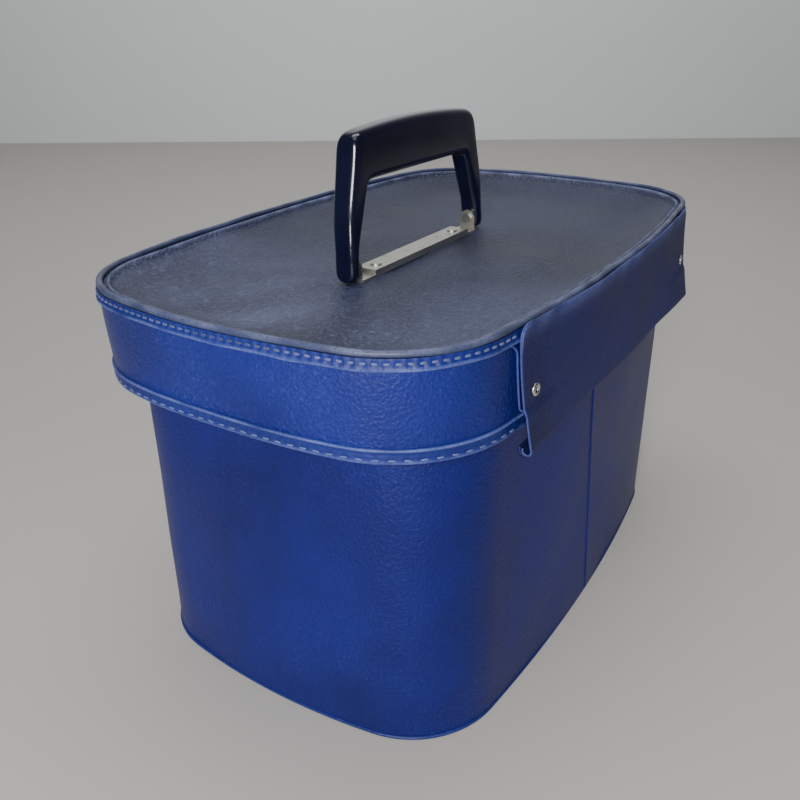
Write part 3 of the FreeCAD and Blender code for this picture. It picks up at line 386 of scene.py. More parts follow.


# The lid's top: the same cloth, dull, with dust and painted sheen lying in patches, dust specks and
# painted glints on the grain, and painted light growing toward the +X end.
def dustAndSheenLeather(name, colour, dustAndSheenColour, grain):
    paint = Paint(name)
    pebble = paint.cells(grain["scale"], 0.35)
    fine = paint.noise(grain["scale"] * 1.8, 3.0, 0.65, distortion=0.8)
    broad = paint.noise(9.0, 4.0, 0.55, distortion=0.6)
    speck = paint.spread(paint.noise(grain["scale"] * 0.8, 4.0, 0.75, distortion=1.0), 0.46, 0.72)
    patch = paint.spread(broad, 0.3, 0.72, grain["dustAndSheenLow"], grain["dustAndSheenHigh"])
    # Painted light: lighter toward the +X end.
    paintedLightNearEnd = paint.spread(paint.along("X"), 0.0, 0.15, 0.45, 1.6)
    dustAndSheen = paint.maths("ADD", patch, paint.maths("MULTIPLY", speck, grain["speck"]))
    share = paint.maths("MULTIPLY", paintedLightNearEnd, dustAndSheen)
    tone = paint.mix(paint.maths("MAXIMUM", share, paint.wearAndHighlight()), colour, dustAndSheenColour)
    gloss = paint.spread(broad, 0.3, 0.7, 0.40, 0.54)
    large = paint.bump(pebble, grain["depth"], 0.9)
    small = paint.bump(fine, grain["depth"] * 0.6, 0.7, large)
    paint.shader.inputs["Specular IOR Level"].default_value = 0.4
    return paint.finish(tone, gloss, small)


# Plated metal: a drawn grain along X, dull stains and small scratches.
def metal(name, colour, stain, rough, stained):
    paint = Paint(name, metallic=1.0)
    drawn = paint.noise(900.0, 2.0, 0.6, paint.stretched((0.08, 1.0, 1.0)))
    spots = paint.spread(paint.noise(190.0, 5.0, 0.7), 0.5, 0.78)
    tone = paint.mix(paint.maths("MULTIPLY", spots, stained), colour, stain)
    gloss = paint.maths("ADD", paint.spread(drawn, 0.3, 0.7, rough, rough + 0.12),
                        paint.maths("MULTIPLY", spots, 0.25 * stained))
    return paint.finish(tone, gloss, paint.bump(drawn, 0.00002, 0.3))


# Woven lining or paper board: a fine noise grain and a slow stain.
def plainCloth(name, colour, shade, weave, rough):
    paint = Paint(name, roughness=rough)
    slow = paint.noise(22.0, 4.0, 0.6)
    threads = paint.noise(weave, 3.0, 0.7)
    tone = paint.mix(paint.spread(slow, 0.3, 0.7), shade, colour)
    tone = paint.mix(paint.spread(threads, 0.35, 0.75, 0.0, 0.35), tone, shade)
    paint.shader.inputs["Sheen Weight"].default_value = 0.2
    return paint.finish(tone, None, paint.bump(threads, 0.0002, 0.6))


# Colour, its darker shade, the light colour of its wear and painted highlights, and the share of it in
# the specks, which are rub wear and painted glints.
navyCloth = leathercloth(
    "navyCloth", (0.0042, 0.0078, 0.132), (0.0028, 0.0050, 0.084), (0.045, 0.075, 0.32), 0.34,
    {"scale": 680.0, "depth": 0.00042, "strength": 0.7, "shine": 0.22}, (0.28, 0.38))
# The band takes the tub's navy cloth painted lighter, shinier and with more light specks: painted
# light on the band.
litBandCloth = leathercloth(
    "litBandCloth", (0.0062, 0.0135, 0.175), (0.0042, 0.0088, 0.110), (0.080, 0.115, 0.40), 0.42,
    {"scale": 680.0, "depth": 0.00042, "strength": 0.7, "shine": 0.30}, (0.26, 0.36))
flapCloth = leathercloth(
    "flapCloth", (0.0115, 0.0150, 0.125), (0.0085, 0.0100, 0.062), (0.090, 0.110, 0.28), 0.5,
    {"scale": 600.0, "depth": 0.0003, "strength": 0.5, "shine": 0.2}, (0.42, 0.55))
edgeCloth = leathercloth(
    "edgeCloth", (0.0080, 0.0180, 0.165), (0.0055, 0.0120, 0.110), (0.115, 0.155, 0.42), 0.3,
    {"scale": 560.0, "depth": 0.0003, "strength": 0.5, "shine": 0.3}, (0.30, 0.42))
topCloth = dustAndSheenLeather(
    "topCloth", (0.009, 0.0120, 0.036), (0.155, 0.180, 0.33),
    {"scale": 600.0, "depth": 0.0006, "dustAndSheenLow": 0.02, "dustAndSheenHigh": 0.40, "speck": 0.30})
weltCloth = leathercloth(
    "weltCloth", (0.016, 0.022, 0.080), (0.010, 0.014, 0.045), (0.19, 0.22, 0.36), 0.45,
    {"scale": 480.0, "depth": 0.0002, "strength": 0.4, "shine": 0.4}, (0.28, 0.40))
threadPaint = plainCloth("threadPaint", (0.10, 0.14, 0.36), (0.035, 0.055, 0.19), 900.0, 0.55)
topThread = plainCloth("topThread", (0.095, 0.125, 0.31), (0.025, 0.035, 0.12), 700.0, 0.55)
boardPaint = plainCloth("boardPaint", (0.34, 0.27, 0.19), (0.24, 0.18, 0.12), 900.0, 0.85)
liningPaint = plainCloth("liningPaint", (0.10, 0.14, 0.30), (0.06, 0.09, 0.21), 1800.0, 0.75)
tapePaint = plainCloth("tapePaint", (0.05, 0.07, 0.17), (0.03, 0.04, 0.11), 1500.0, 0.6)
agedNickel = metal("agedNickel", (0.58, 0.58, 0.52), (0.24, 0.25, 0.18), 0.34, 0.6)
brightNickel = metal("brightNickel", (0.64, 0.63, 0.58), (0.34, 0.32, 0.25), 0.22, 0.35)
plainSteel = metal("plainSteel", (0.45, 0.45, 0.44), (0.16, 0.12, 0.09), 0.30, 0.6)


# Moulded plastic under a thin clear coat, with faint scratches across it.
def glossPlastic():
    paint = Paint("glossPlastic")
    slow = paint.noise(30.0, 3.0, 0.5)
    scratch = paint.spread(paint.noise(500.0, 2.0, 0.5, paint.stretched((1.0, 1.0, 0.1))), 0.55, 0.7)
    tone = paint.mix(paint.spread(slow, 0.3, 0.7), (0.0018, 0.0022, 0.012), (0.0030, 0.0038, 0.020))
    gloss = paint.maths("ADD", paint.spread(slow, 0.3, 0.7, 0.16, 0.24),
                        paint.maths("MULTIPLY", scratch, 0.03))
    paint.shader.inputs["Coat Weight"].default_value = 0.4
    paint.shader.inputs["Coat Roughness"].default_value = 0.12
    return paint.finish(tone, gloss, paint.bump(slow, 0.0002, 0.3))


# Silvering with a few small spots where it has gone.
def mirrorSilver():
    paint = Paint("mirrorSilver", roughness=0.04, metallic=1.0)
    spots = paint.spread(paint.noise(260.0, 4.0, 0.7), 0.66, 0.74)
    tone = paint.mix(spots, (0.86, 0.88, 0.88), (0.30, 0.27, 0.22))
    return paint.finish(tone, paint.maths("ADD", paint.maths("MULTIPLY", spots, 0.4), 0.03))


def framePlastic():
    paint = Paint("framePlastic")
    slow = paint.noise(60.0, 3.0, 0.5)
    tone = paint.mix(paint.spread(slow, 0.3, 0.7), (0.030, 0.038, 0.10), (0.045, 0.055, 0.13))
    return paint.finish(tone, paint.spread(slow, 0.3, 0.7, 0.3, 0.42), paint.bump(slow, 0.00005, 0.3))


gripPaint = glossPlastic()
nodePaints = {
    "navy_leathercloth": navyCloth, "dusty_grain_leathercloth": topCloth, "navy_edging": edgeCloth,
    "rim_tape": tapePaint, "board": boardPaint, "lining_cloth": liningPaint,
    "navy_gloss_plastic": gripPaint, "aged_nickel": agedNickel, "bright_nickel": brightNickel,
    "plain_steel": plainSteel, "mirror_silver": mirrorSilver(), "frame_plastic": framePlastic()}
for entry in frame["record"]["subparts"]:
    node = frame["nodes"][entry["node"]]
    node.data.materials.clear()
    node.data.materials.append(nodePaints[entry["material_slot"]])
print("materials made")

tubSizes = {"halfLength": 154, "halfWidth": 100, "corner": 47, "endArc": 340, "sideArc": 1000}
tubArcs = outlineArcs(**tubSizes)
tubTop = nodeBox("wall_board")[1][2]
lidLow = nodeBox("lid_band_cover")[0][2]
lidHigh = nodeBox("lid_band_cover")[1][2]
weltTop = nodeBox("lid_welt")[1][2]
lidShape = {
    "low": {"halfLength": 168.4, "halfWidth": 104.9, "corner": 52, "endArc": 330, "sideArc": 1000},
    "top": {"halfLength": 171.8, "halfWidth": 104.9, "corner": 52, "endArc": 280, "sideArc": 1000}}
lidLowArcs = outlineArcs(**lidShape["low"])
lidTopArcs = outlineArcs(**lidShape["top"])


def lidShare(z):
    return np.clip((z - lidLow) / (lidHigh - lidLow), 0, 1.05)


def lidRow(out, z):
    return out, z, lidShare(z)


bodyValues = {"columns": 560, "foot": 0.45, "taper": 1.25, "seamLean": 0.135, "seamStep": 0.42,
              "seamFade": 34.0, "unevenness": 0.22}


# The tub's cover: the outline swept up the wall, drawn in a little to its top, turned under at
# the base; one edge of the cloth laps over the other along a leaning seam at the back.
def buildBody():
    value = bodyValues
    length = arcLengths(tubArcs)[-1]
    near = np.array([0.0, 0.35, 0.8, 1.5, 2.5])
    even = np.linspace(4.0, length - 4.0, value["columns"])
    lengths = np.concatenate([near, even, length - near[:0:-1], [length - 0.02]])
    heights = np.concatenate([[0.4, 0.4, 0.9, 1.8, 3.2], np.linspace(5.0, tubTop - 0.2, 60), [tubTop]])
    outs = np.concatenate([[-7.0, -1.6, -0.35, 0.0, 0.0], np.zeros(60), [-0.4]])
    fromSeam = np.minimum(lengths, length - lengths)
    slide = value["seamLean"] * smoothStep(1 - fromSeam / 80.0)
    layers = []
    for out, z in zip(outs, heights):
        places = placesAlong(tubArcs, np.mod(lengths - slide * z, length))
        flat, facing = ringAt(tubArcs, places, np.zeros(len(places)))
        lap = value["seamStep"] * np.clip(1 - lengths / value["seamFade"], 0, 1) * (z > 0.6)
        grow = out + value["foot"] - value["taper"] * z / tubTop + lap
        layers.append(np.column_stack([flat + facing * grow[:, None], np.full(len(places), z)]))
    points = np.array(layers)
    facing = points[..., :2] / np.linalg.norm(points[..., :2], axis=-1)[..., None]
    points[..., :2] += facing * waver(points, 95.0, value["unevenness"])[..., None]
    cover = attach(addGrid("bodyCover", points, True), "case", navyCloth,
                   ["body_cover"])
    foot = arcRows(0.0, 1.3, 0.95, -80, 80, 9)
    places = evenPlaces(tubArcs, 420)
    bead = sweepRing(tubArcs, tubArcs, places, foot)
    attach(addGrid("footBead", bead, True), "case", edgeCloth, ["foot_binding"])
    return cover


buildBody()
print("tub made")

lidValues = {"columns": 1200, "bandSwell": 0.5, "unevenness": 0.3, "lowLine": 6.4, "lowStitch": 2.2,
             "topLine": 4.6, "weltRadius": 1.5, "weltIn": 1.0, "lining": -4.3, "drape": 80.0}
stitchValues = {"lowPitch": 5.7, "topPitch": 4.1, "lowSize": (2.9, 0.75, 0.7),
                "topSize": (2.5, 1.15, 0.95), "lowOut": 1.05, "topOut": 0.8}
lidPlaces = evenPlaces(lidTopArcs, lidValues["columns"])
flapHalf = nodeBox("back_flap")[1][0]


# Moves points in or out from the middle by a slow unevenness.
def drapeRing(points, size, amount, seed):
    facing = points[..., :2] / np.linalg.norm(points[..., :2], axis=-1)[..., None]
    points[..., :2] += facing * waver(points, size, amount, seed)[..., None]
    return points


# The unevenness that all the pieces of the lid's side share, so that they stay together.
def drapeSide(points):
    return drapeRing(points, lidValues["drape"], lidValues["unevenness"], 2.0)


# A cosine along the strip: it stands up between two stitches and is drawn in at the thread.
def pucker(points, rows, pitch, amount):
    along = np.interp(lidPlaces, np.arange(10.0), arcLengths(lidTopArcs))
    wave = amount * np.cos((along - flapHalf - 2) / pitch * 2 * math.pi + math.pi)
    facing = points[..., :2] / np.linalg.norm(points[..., :2], axis=-1)[..., None]
    for row in rows:
        points[row, :, :2] += facing[row] * wave[:, None]
    return points


# The band's cover, a little full between its two bindings, in the navy cloth painted lighter: painted
# light on the band.
def buildBand():
    value = lidValues
    heights = np.linspace(lidLow + 1.0, lidHigh, 34)
    middle = np.sin(np.linspace(0, math.pi, 34)) ** 0.7
    rows = [lidRow(-2.6, lidLow + 0.3), lidRow(-0.6, lidLow + 0.3)]
    rows += [lidRow(value["bandSwell"] * swell, z) for z, swell in zip(heights, middle)]
    points = drapeSide(sweepRing(lidLowArcs, lidTopArcs, lidPlaces, rows))
    return attach(addGrid("lidBand", points, True), "lid", litBandCloth,
                  ["lid_band_cover", "lid_band_board"])


# A strip turned round the lid's lower edge: a raised folded line on top, then a flat with the
# stitches drawn into it, then the edge rolled under.
def buildLowerBinding():
    top = lidLow + lidValues["lowLine"]
    stitch = lidLow + lidValues["lowStitch"]
    rows = [lidRow(lidValues["lining"] - 0.3, lidLow + 2.0), lidRow(-3.4, lidLow + 0.2)]
    rows += [lidRow(-1.0, lidLow - 0.15), lidRow(0.3, lidLow), lidRow(1.15, lidLow + 0.6)]
    rows += [lidRow(1.35, lidLow + 1.3), lidRow(0.85, stitch), lidRow(1.15, stitch + 0.9)]
    rows += [lidRow(0.95, top - 2.4), lidRow(0.8, top - 1.3), lidRow(1.25, top - 0.75)]
    rows += [lidRow(1.55, top - 0.2), lidRow(1.25, top + 0.25), lidRow(0.3, top + 0.4)]
    points = drapeSide(sweepRing(lidLowArcs, lidTopArcs, lidPlaces, rows))
    points = pucker(points, (5, 6, 7), stitchValues["lowPitch"], 0.16)
    strip = attach(addGrid("lowerBinding", points, True), "lid", edgeCloth,
                   ["lower_binding"])
    # Lighter along the rolled lower edge and the raised folded line: wear and a painted highlight on
    # these crests.
    markWearAndHighlight(strip, [0, 0, 0, 0.2, 0.5, 0.4, 0, 0, 0, 0, 0.3, 0.75, 0.6, 0], points, 1.0)
    return strip


# A strip under the welt: a raised folded line at its lower edge and the stitches above it.
def buildTopBinding():
    base = weltTop - 3.4
    low = weltTop - 2.4 - lidValues["topLine"]
    rows = [lidRow(0.2, low - 1.0), lidRow(1.0, low - 0.6), lidRow(1.6, low), lidRow(1.5, low + 0.7)]
    rows += [lidRow(0.95, low + 1.3), lidRow(0.7, low + 2.2), lidRow(0.75, low + 3.2)]
    rows += [lidRow(0.4, base + 0.8)]
    points = drapeSide(sweepRing(lidLowArcs, lidTopArcs, lidPlaces, rows))
    points[2:4, :, 2] += waver(points[2:4], 26.0, 0.3, 4.0)
    points = pucker(points, (4, 5, 6), stitchValues["topPitch"], 0.28)
    strip = attach(addGrid("topBinding", points, True), "lid", edgeCloth, ["top_binding"])
    # Lighter along the raised folded line: wear and a painted highlight on its crest.
    markWearAndHighlight(strip, [0.2, 0.5, 0.75, 0.3, 0, 0, 0, 0], points, 3.0)
    return strip


# Piping round a cord: a round profile, slightly uneven, sunk at its inner side to the groove.
def buildWelt():
    radius = lidValues["weltRadius"]
    rows = arcRows(-lidValues["weltIn"], weltTop - radius, radius, -75, 220, 15, lidShare(weltTop))
    points = drapeSide(sweepRing(lidLowArcs, lidTopArcs, lidPlaces, rows))
    points[..., 2] += waver(points, 45.0, 0.18, 1.0)
    welt = attach(addGrid("lidWelt", points, True), "lid", weltCloth, ["lid_welt"])
    # Lighter along the crest of the piping: wear and a painted highlight.
    markWearAndHighlight(welt, 0.4 * np.sin(np.linspace(0, math.pi, 15)) ** 2, points, 5.0)
    return welt


panelValues = {"rim": -2.6, "ridgeAt": 2.1, "ridgeWidth": 0.85, "ridgeLift": 1.5, "grooveAt": 4.3,
               "grooveWidth": 1.2, "grooveDrop": 0.7, "slope": 36.0, "rise": 7.6, "coreLength": 72.0,
               "sag": 0.85, "overBoard": 0.45, "tuck": 3.4}
panelFloor = nodeBox("handle_base_bar")[0][2]
boardTop = nodeBox("lid_top_board")[1][2]


# Height of the dished panel, by the distance in from its edge: a groove beside the welt, a
# narrow ridge, then a long slope that flattens to the middle.
def panelHeight(inward, points):
    value = panelValues
    share = np.clip(inward / value["slope"], 0, 1)
    height = panelFloor + value["rise"] * (1 - share) ** 2
    ridge = np.exp(-((inward - value["ridgeAt"]) / value["ridgeWidth"]) ** 2) * value["ridgeLift"]
    groove = np.exp(-((inward - value["grooveAt"]) / value["grooveWidth"]) ** 2) * value["grooveDrop"]
    rough = waver(points, 62.0, value["sag"], 3.0) * np.clip(inward / 20.0, 0, 1)
    return np.maximum(height + ridge - groove + rough, boardTop + value["overBoard"])


# The top cover: rings from the welt inward, then straight in to a short line at the middle.
def buildPanel():
    value = panelValues
    inward = np.concatenate([[-0.6, 0.0], np.linspace(0.5, 9.0, 18),
                             np.linspace(10.0, value["slope"], 22)])
    layers = []
    share = lidShare(weltTop)
    low, facing = ringAt(lidLowArcs, lidPlaces, np.zeros(len(lidPlaces)))
    top, facing = ringAt(lidTopArcs, lidPlaces, np.zeros(len(lidPlaces)))
    edge = low * (1 - share) + top * share
    for step in inward:
        flat = edge + facing * (value["rim"] - step)
        layers.append(np.column_stack([flat, np.full(len(flat), step)]))
    last = layers[-1]
    core = np.column_stack([np.clip(last[:, 0], -value["coreLength"], value["coreLength"]),
                            np.zeros(len(last))])
    for share in np.linspace(0, 1, 26)[1:]:
        flat = last[:, :2] * (1 - share) + core * share
        layers.append(np.column_stack([flat, np.full(len(flat), value["slope"] + share * 50)]))
    points = np.array(layers)
    steps = points[..., 2].copy()
    points[..., 2] = 0
    points[..., 2] = panelHeight(steps, points)
    points[0, :, 2] = weltTop - value["tuck"]
    panel = attach(addGrid("lidPanel", points, True), "lid", topCloth,
                   ["lid_top_cover"])
    # Lighter along the narrow ridge by the welt: wear and a painted highlight.
    markWearAndHighlight(panel, 0.7 * np.exp(-((steps[:, 0] - value["ridgeAt"]) / 0.8) ** 2), points, 7.0)
    return panel


# Stitches along the band at one height, leaving out the back between the flap's ends.
def stitchRow(name, z, out, skip, pitch, size, paint):
    share = lidShare(z)
    total = arcLengths(lidTopArcs)[-1]
    lengths = np.arange(skip, total - skip, pitch)
    places = placesAlong(lidTopArcs, lengths)

    def at(places):
        low, facing = ringAt(lidLowArcs, places, np.full(places.shape, out))
        top, facing = ringAt(lidTopArcs, places, np.full(places.shape, out))
        flat = np.column_stack([low * (1 - share) + top * share, np.full(len(places), z)])
        return drapeSide(flat), facing

    points, facing = at(places)
    ahead = at(places + 0.004)[0] - points
    ahead /= np.linalg.norm(ahead, axis=1)[:, None]
    ahead[:, 2] += 0.12 * np.sin(np.arange(len(ahead)) * 2.1)
    facing = np.column_stack([facing, np.zeros(len(facing))])
    return attach(addStitches(name, points, facing, ahead, size), "lid", paint)


buildBand()
buildLowerBinding()
buildTopBinding()
buildWelt()
buildPanel()
stitchRow("lowerStitches", lidLow + lidValues["lowStitch"], stitchValues["lowOut"], flapHalf + 2,
          stitchValues["lowPitch"], stitchValues["lowSize"], threadPaint)
stitchRow("topStitches", weltTop - lidValues["topLine"] + 0.1, stitchValues["topOut"], flapHalf + 2,
          stitchValues["topPitch"], stitchValues["topSize"], topThread)
print("lid made")

flapValues = {"notch": 163.5, "freeLine": 106.2, "curl": 1.9, "corner": 5.5, "top": 196.3,
              "thick": 1.1, "attachOut": 1.25, "edgeRadius": 0.45, "notchOut": 0.8, "hangPower": 1.7,
              "hem": 1.7, "hemTop": 5.0, "edgeWear": 0.32}


# The band's back at a place along the case, moved outward.
def backLine(x, z, out):
    share = lidShare(z)
    total = 0.0
    for arcs, part in ((lidLowArcs, 1 - share), (lidTopArcs, share)):
        centre, radius = arcs[0][1], arcs[0][2] + out
        total = total + part * (centre + np.sqrt(radius ** 2 - np.asarray(x, float) ** 2))
    return total


# Down the band from a rounded corner, then hanging free toward one straight line, then curled in.
def flapProfile(x):
    value = flapValues
    low = nodeBox("back_flap")[0][2]
    curl, corner = value["curl"], value["corner"]
    inside = corner - min(flapHalf - abs(x), corner)
    top = value["top"] - corner + math.sqrt(corner ** 2 - inside ** 2)
    heights = np.concatenate([np.linspace(top, value["notch"], 14),
                              np.linspace(value["notch"], low + curl, 12)[1:]])
    attached = backLine(x, heights, value["attachOut"])
    free = np.clip((value["top"] - heights) / (value["top"] - low - curl), 0, 1) ** value["hangPower"]
    depth = attached * (1 - free) + max(value["freeLine"], attached[-1] + 1.0) * free
    below, outer = smoothStep((value["notch"] - heights) / 3.0), smoothStep((abs(x) - 60) / 50)
    depth += value["notchOut"] * below * outer
    angles = np.radians(np.linspace(0, -205, 11))[1:]
    bend = np.column_stack([depth[-1] - curl + curl * np.cos(angles),
                            low + curl + curl * np.sin(angles)])
    line = np.concatenate([np.column_stack([depth, heights]), bend])
    return np.column_stack([np.full(len(line), x), line])


# A sheet over the back, hung from under the welt, with worn turned ends.
def buildFlap():
    value = flapValues
    ends = np.array([0, 0.8, 2.0, 4.0])
    across = np.concatenate([-flapHalf + ends, np.linspace(-flapHalf + 7, flapHalf - 7, 70),
                             flapHalf - ends[::-1]])
    points = np.array([flapProfile(x) for x in across[::-1]]).transpose(1, 0, 2)
    points[..., 1] += waver(points, 60.0, 0.25, 5.0)
    sheet = addMesh("backFlap", points.reshape(-1, 3),
                    [gridFaces(points.shape[0], points.shape[1], False)[:, ::-1]])
    rows = np.zeros(points.shape[0])
    rows[:4] = (0.6, 0.4, 0.15, 0.05)
    markWearAndHighlight(sheet, rows, points, 9.0)
    thick = sheet.modifiers.new("thickness", "SOLIDIFY")
    thick.thickness = value["thick"] * 0.001
    thick.offset = 1
    return bendWithLid(sheet, flapCloth, "back_flap")


# Gives the sheet its material, bakes its place into its points and hides the frame's parts that it
# stands for.
def bendWithLid(item, material, *nodes):
    item.data.materials.append(material)
    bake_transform(item)
    if nodes:
        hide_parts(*nodes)
    return item


backFlap = buildFlap()
flatFlap = np.linalg.norm(np.diff(flapProfile(0.0), axis=0), axis=1).sum()


# The flap's worn edge, round its top corner and down to the curl, and the fold line beside it,
# which turns away along the band's upper strip.
def buildFlapEdge(tag, sign):
    value = flapValues
    corner = np.array([flapProfile(sign * (flapHalf - step))[0]
                       for step in (9.0, 5.5, 4.0, 2.6, 1.5, 0.7, 0.2)])
    edge = np.concatenate([corner, flapProfile(sign * flapHalf)])
    edge[:, 1] += value["thick"] / 2
    low = weltTop - 2.4 - lidValues["topLine"]
    turn = np.linspace(0, math.pi / 2, 8)
    x = np.concatenate([flapHalf + value["hem"] + value["hemTop"] * (1 - np.sin(turn)),
                        np.full(16, flapHalf + value["hem"]), [flapHalf + 0.9, flapHalf - 0.2]])
    z = np.concatenate([low - value["hemTop"] * (1 - np.cos(turn)),
                        np.linspace(low - value["hemTop"], value["notch"] + 0.6, 17)[1:],
                        [value["notch"] - 0.4, value["notch"] - 0.9]])
    line = flapProfile(sign * flapHalf)
    onFlap = np.interp(-z, -line[:25, 2], line[:25, 1])
    onBand = np.array([float(backLine(one, two, 0.9)) for one, two in zip(x, z)])
    share = smoothStep((x - flapHalf) / 3.4 - 0.25)
    hem = np.column_stack([sign * x, onFlap * (1 - share) + onBand * share, z])
    for name, path, up in (("flapEdge", edge, (1, 0, 0.2)), ("flapHem", hem, (0, 1, 0))):
        tube = bendWithLid(tubeAlong(name + tag, path, value["edgeRadius"], up=up), edgeCloth)
        mark = tube.data.attributes.new("wearAndHighlight", "FLOAT", "POINT")
        mark.data.foreach_set("value", np.full(len(tube.data.vertices), value["edgeWear"], np.float32))


buildFlapEdge("Right", 1)
buildFlapEdge("Left", -1)


# A hollow rivet: a profile of radius and height turned about its axis, closed at both poles.
def rivetRing(name, centre, out):
    across = np.cross(out, (0, 0, 1))
    profile = np.array([(0.0, -1.2), (0.9, -1.2), (0.95, -0.1), (1.25, 0.35), (1.9, 0.55), (2.5, 0.35),
                        (2.9, 0.0), (2.9, -0.3), (1.3, -0.5), (1.3, -1.5), (0.0, -1.5)])
    turn = np.linspace(0, 2 * math.pi, 32, endpoint=False)
    points = (centre + profile[:, None, :1] * (np.cos(turn)[None, :, None] * across
                                               + np.sin(turn)[None, :, None] * np.array((0, 0, 1)))
              + profile[:, None, 1:] * out)
    return addGrid(name, points[::-1], True)


rivetLow, rivetHigh = nodeBox("flap_rivets")
for tag, sign in (("Right", 1), ("Left", -1)):
    x = sign * (rivetHigh[0] - 3.0)
    z = (rivetLow[2] + rivetHigh[2]) / 2
    line = flapProfile(x)
    y = float(np.interp(-z, -line[:24, 2], line[:24, 1])) + flapValues["thick"] + 0.25
    facing = np.array([math.sin(math.asin(x / 1000)), math.cos(math.asin(x / 1000)), 0.0])
    item = attach(rivetRing("flapRivet" + tag, np.array([x, y, z]), facing), "lid", brightNickel)
    if sign > 0:
        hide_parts("flap_rivets")
print("flap made")

gripValues = {"thick": 11.4, "rounding": 3.4, "lean": 3.0, "soft": 4.0, "crown": 2.8, "footPower": 2.8,
              "outer": [(64.2, -5.6), (62.3, 24.5), (57.9, 42.5), (54.6, 58.4)],
              "inner": [(58.0, -5.6), (56.6, 9.0), (46.5, 37.1)]}


# One side of the grip from foot to foot: a bent line, its corners softened by a running average.
def gripLine(corners, crown):
    corners = np.array(corners)
    length = np.concatenate([[0], np.cumsum(np.linalg.norm(np.diff(corners, axis=0), axis=1))])
    at = np.linspace(0, length[-1], 80)
    leg = np.column_stack([np.interp(at, length, corners[:, 0]), np.interp(at, length, corners[:, 1])])
    across = np.linspace(corners[-1][0], -corners[-1][0], 82)[1:-1]
    top = np.column_stack([across, corners[-1][1] + crown * (1 - (across / corners[-1][0]) ** 2)])
    line = np.concatenate([leg, top, leg[::-1] * (-1, 1)])
    kernel = np.exp(-0.5 * (np.arange(-12, 13) / gripValues["soft"]) ** 2)
    padded = np.concatenate([2 * line[0] - line[12:0:-1], line, 2 * line[-1] - line[-2:-14:-1]])
    return np.column_stack([np.convolve(padded[:, part], kernel / kernel.sum(), "valid")
                            for part in (0, 1)])


# Rounded rectangles carried round the arch between its outer and inner lines, thinned to a half
# round below the pivot, then leaned about it.
def buildGrip():
    value = gripValues
    low, high = nodeBox("handle_pins")
    pivot = (low + high) / 2
    outer, inner = gripLine(value["outer"], value["crown"]), gripLine(value["inner"], 0.0)
    foot = np.clip(-np.minimum(outer[:, 1], 0), 0, value["thick"] / 2)
    power = value["footPower"]
    thinned = np.maximum(1 - (foot * 2 / value["thick"]) ** power, 0.0) ** (1 / power)
    halfThick = value["thick"] / 2 * thinned
    halfWide = np.linalg.norm(outer - inner, axis=1) / 2
    rounding = np.minimum(value["rounding"], np.minimum(halfWide, halfThick) * 0.92)
    turn = np.radians(np.concatenate([np.linspace(start, start + 90, 8)
                                      for start in (0, 90, 180, 270)]))
    sideX = np.repeat([1, -1, -1, 1], 8)
    sideY = np.repeat([1, 1, -1, -1], 8)
    wide = (halfWide - rounding)[:, None] * sideX + rounding[:, None] * np.cos(turn)
    thick = (halfThick - rounding)[:, None] * sideY + rounding[:, None] * np.sin(turn)
    middle = (outer + inner) / 2
    across = (outer - inner) / (2 * halfWide[:, None])
    flat = middle[:, None] + across[:, None] * wide[..., None]
    lean = math.radians(value["lean"])
    up, back = flat[..., 1], thick
    points = np.stack([pivot[0] + flat[..., 0],
                       pivot[1] + back * math.cos(lean) - up * math.sin(lean),
                       pivot[2] + up * math.cos(lean) + back * math.sin(lean)], axis=-1)
    return attach(addGrid("handleGrip", points, True), "handle", gripPaint,
                  ["handle_grip"])


buildGrip()
print("handle made")

for nodeName in ("handle_base_bar", "hasp_plate", "hasp", "lock_case", "bolt_knob", "mirror_frame"):
    bevel = frame["nodes"][nodeName].modifiers.new("edges", "BEVEL")
    bevel.width = 0.0004
    bevel.segments = 2
    bevel.limit_method = "ANGLE"

insideValues = {"padTop": nodeBox("base_lining")[1][2], "lining": -5.3, "dome": 1.6, "wrinkle": 0.35}


# Rings moved in from an outline by steps, then straight in to a short line; with each point goes
# its distance in from the rim, as its third number.
def inwardRings(arcs, places, rim, steps, core, rings):
    layers = [np.column_stack([ringAt(arcs, places, np.full(len(places), rim - step))[0],
                               np.full(len(places), float(step))]) for step in steps]
    last = layers[-1]
    middle = np.column_stack([np.clip(last[:, 0], -core, core), np.zeros(len(last))])
    for share in np.linspace(0, 1, rings)[1:]:
        layers.append(np.column_stack([last[:, :2] * (1 - share) + middle * share,
                                       np.full(len(last), steps[-1] + share * 60)]))
    return np.array(layers)


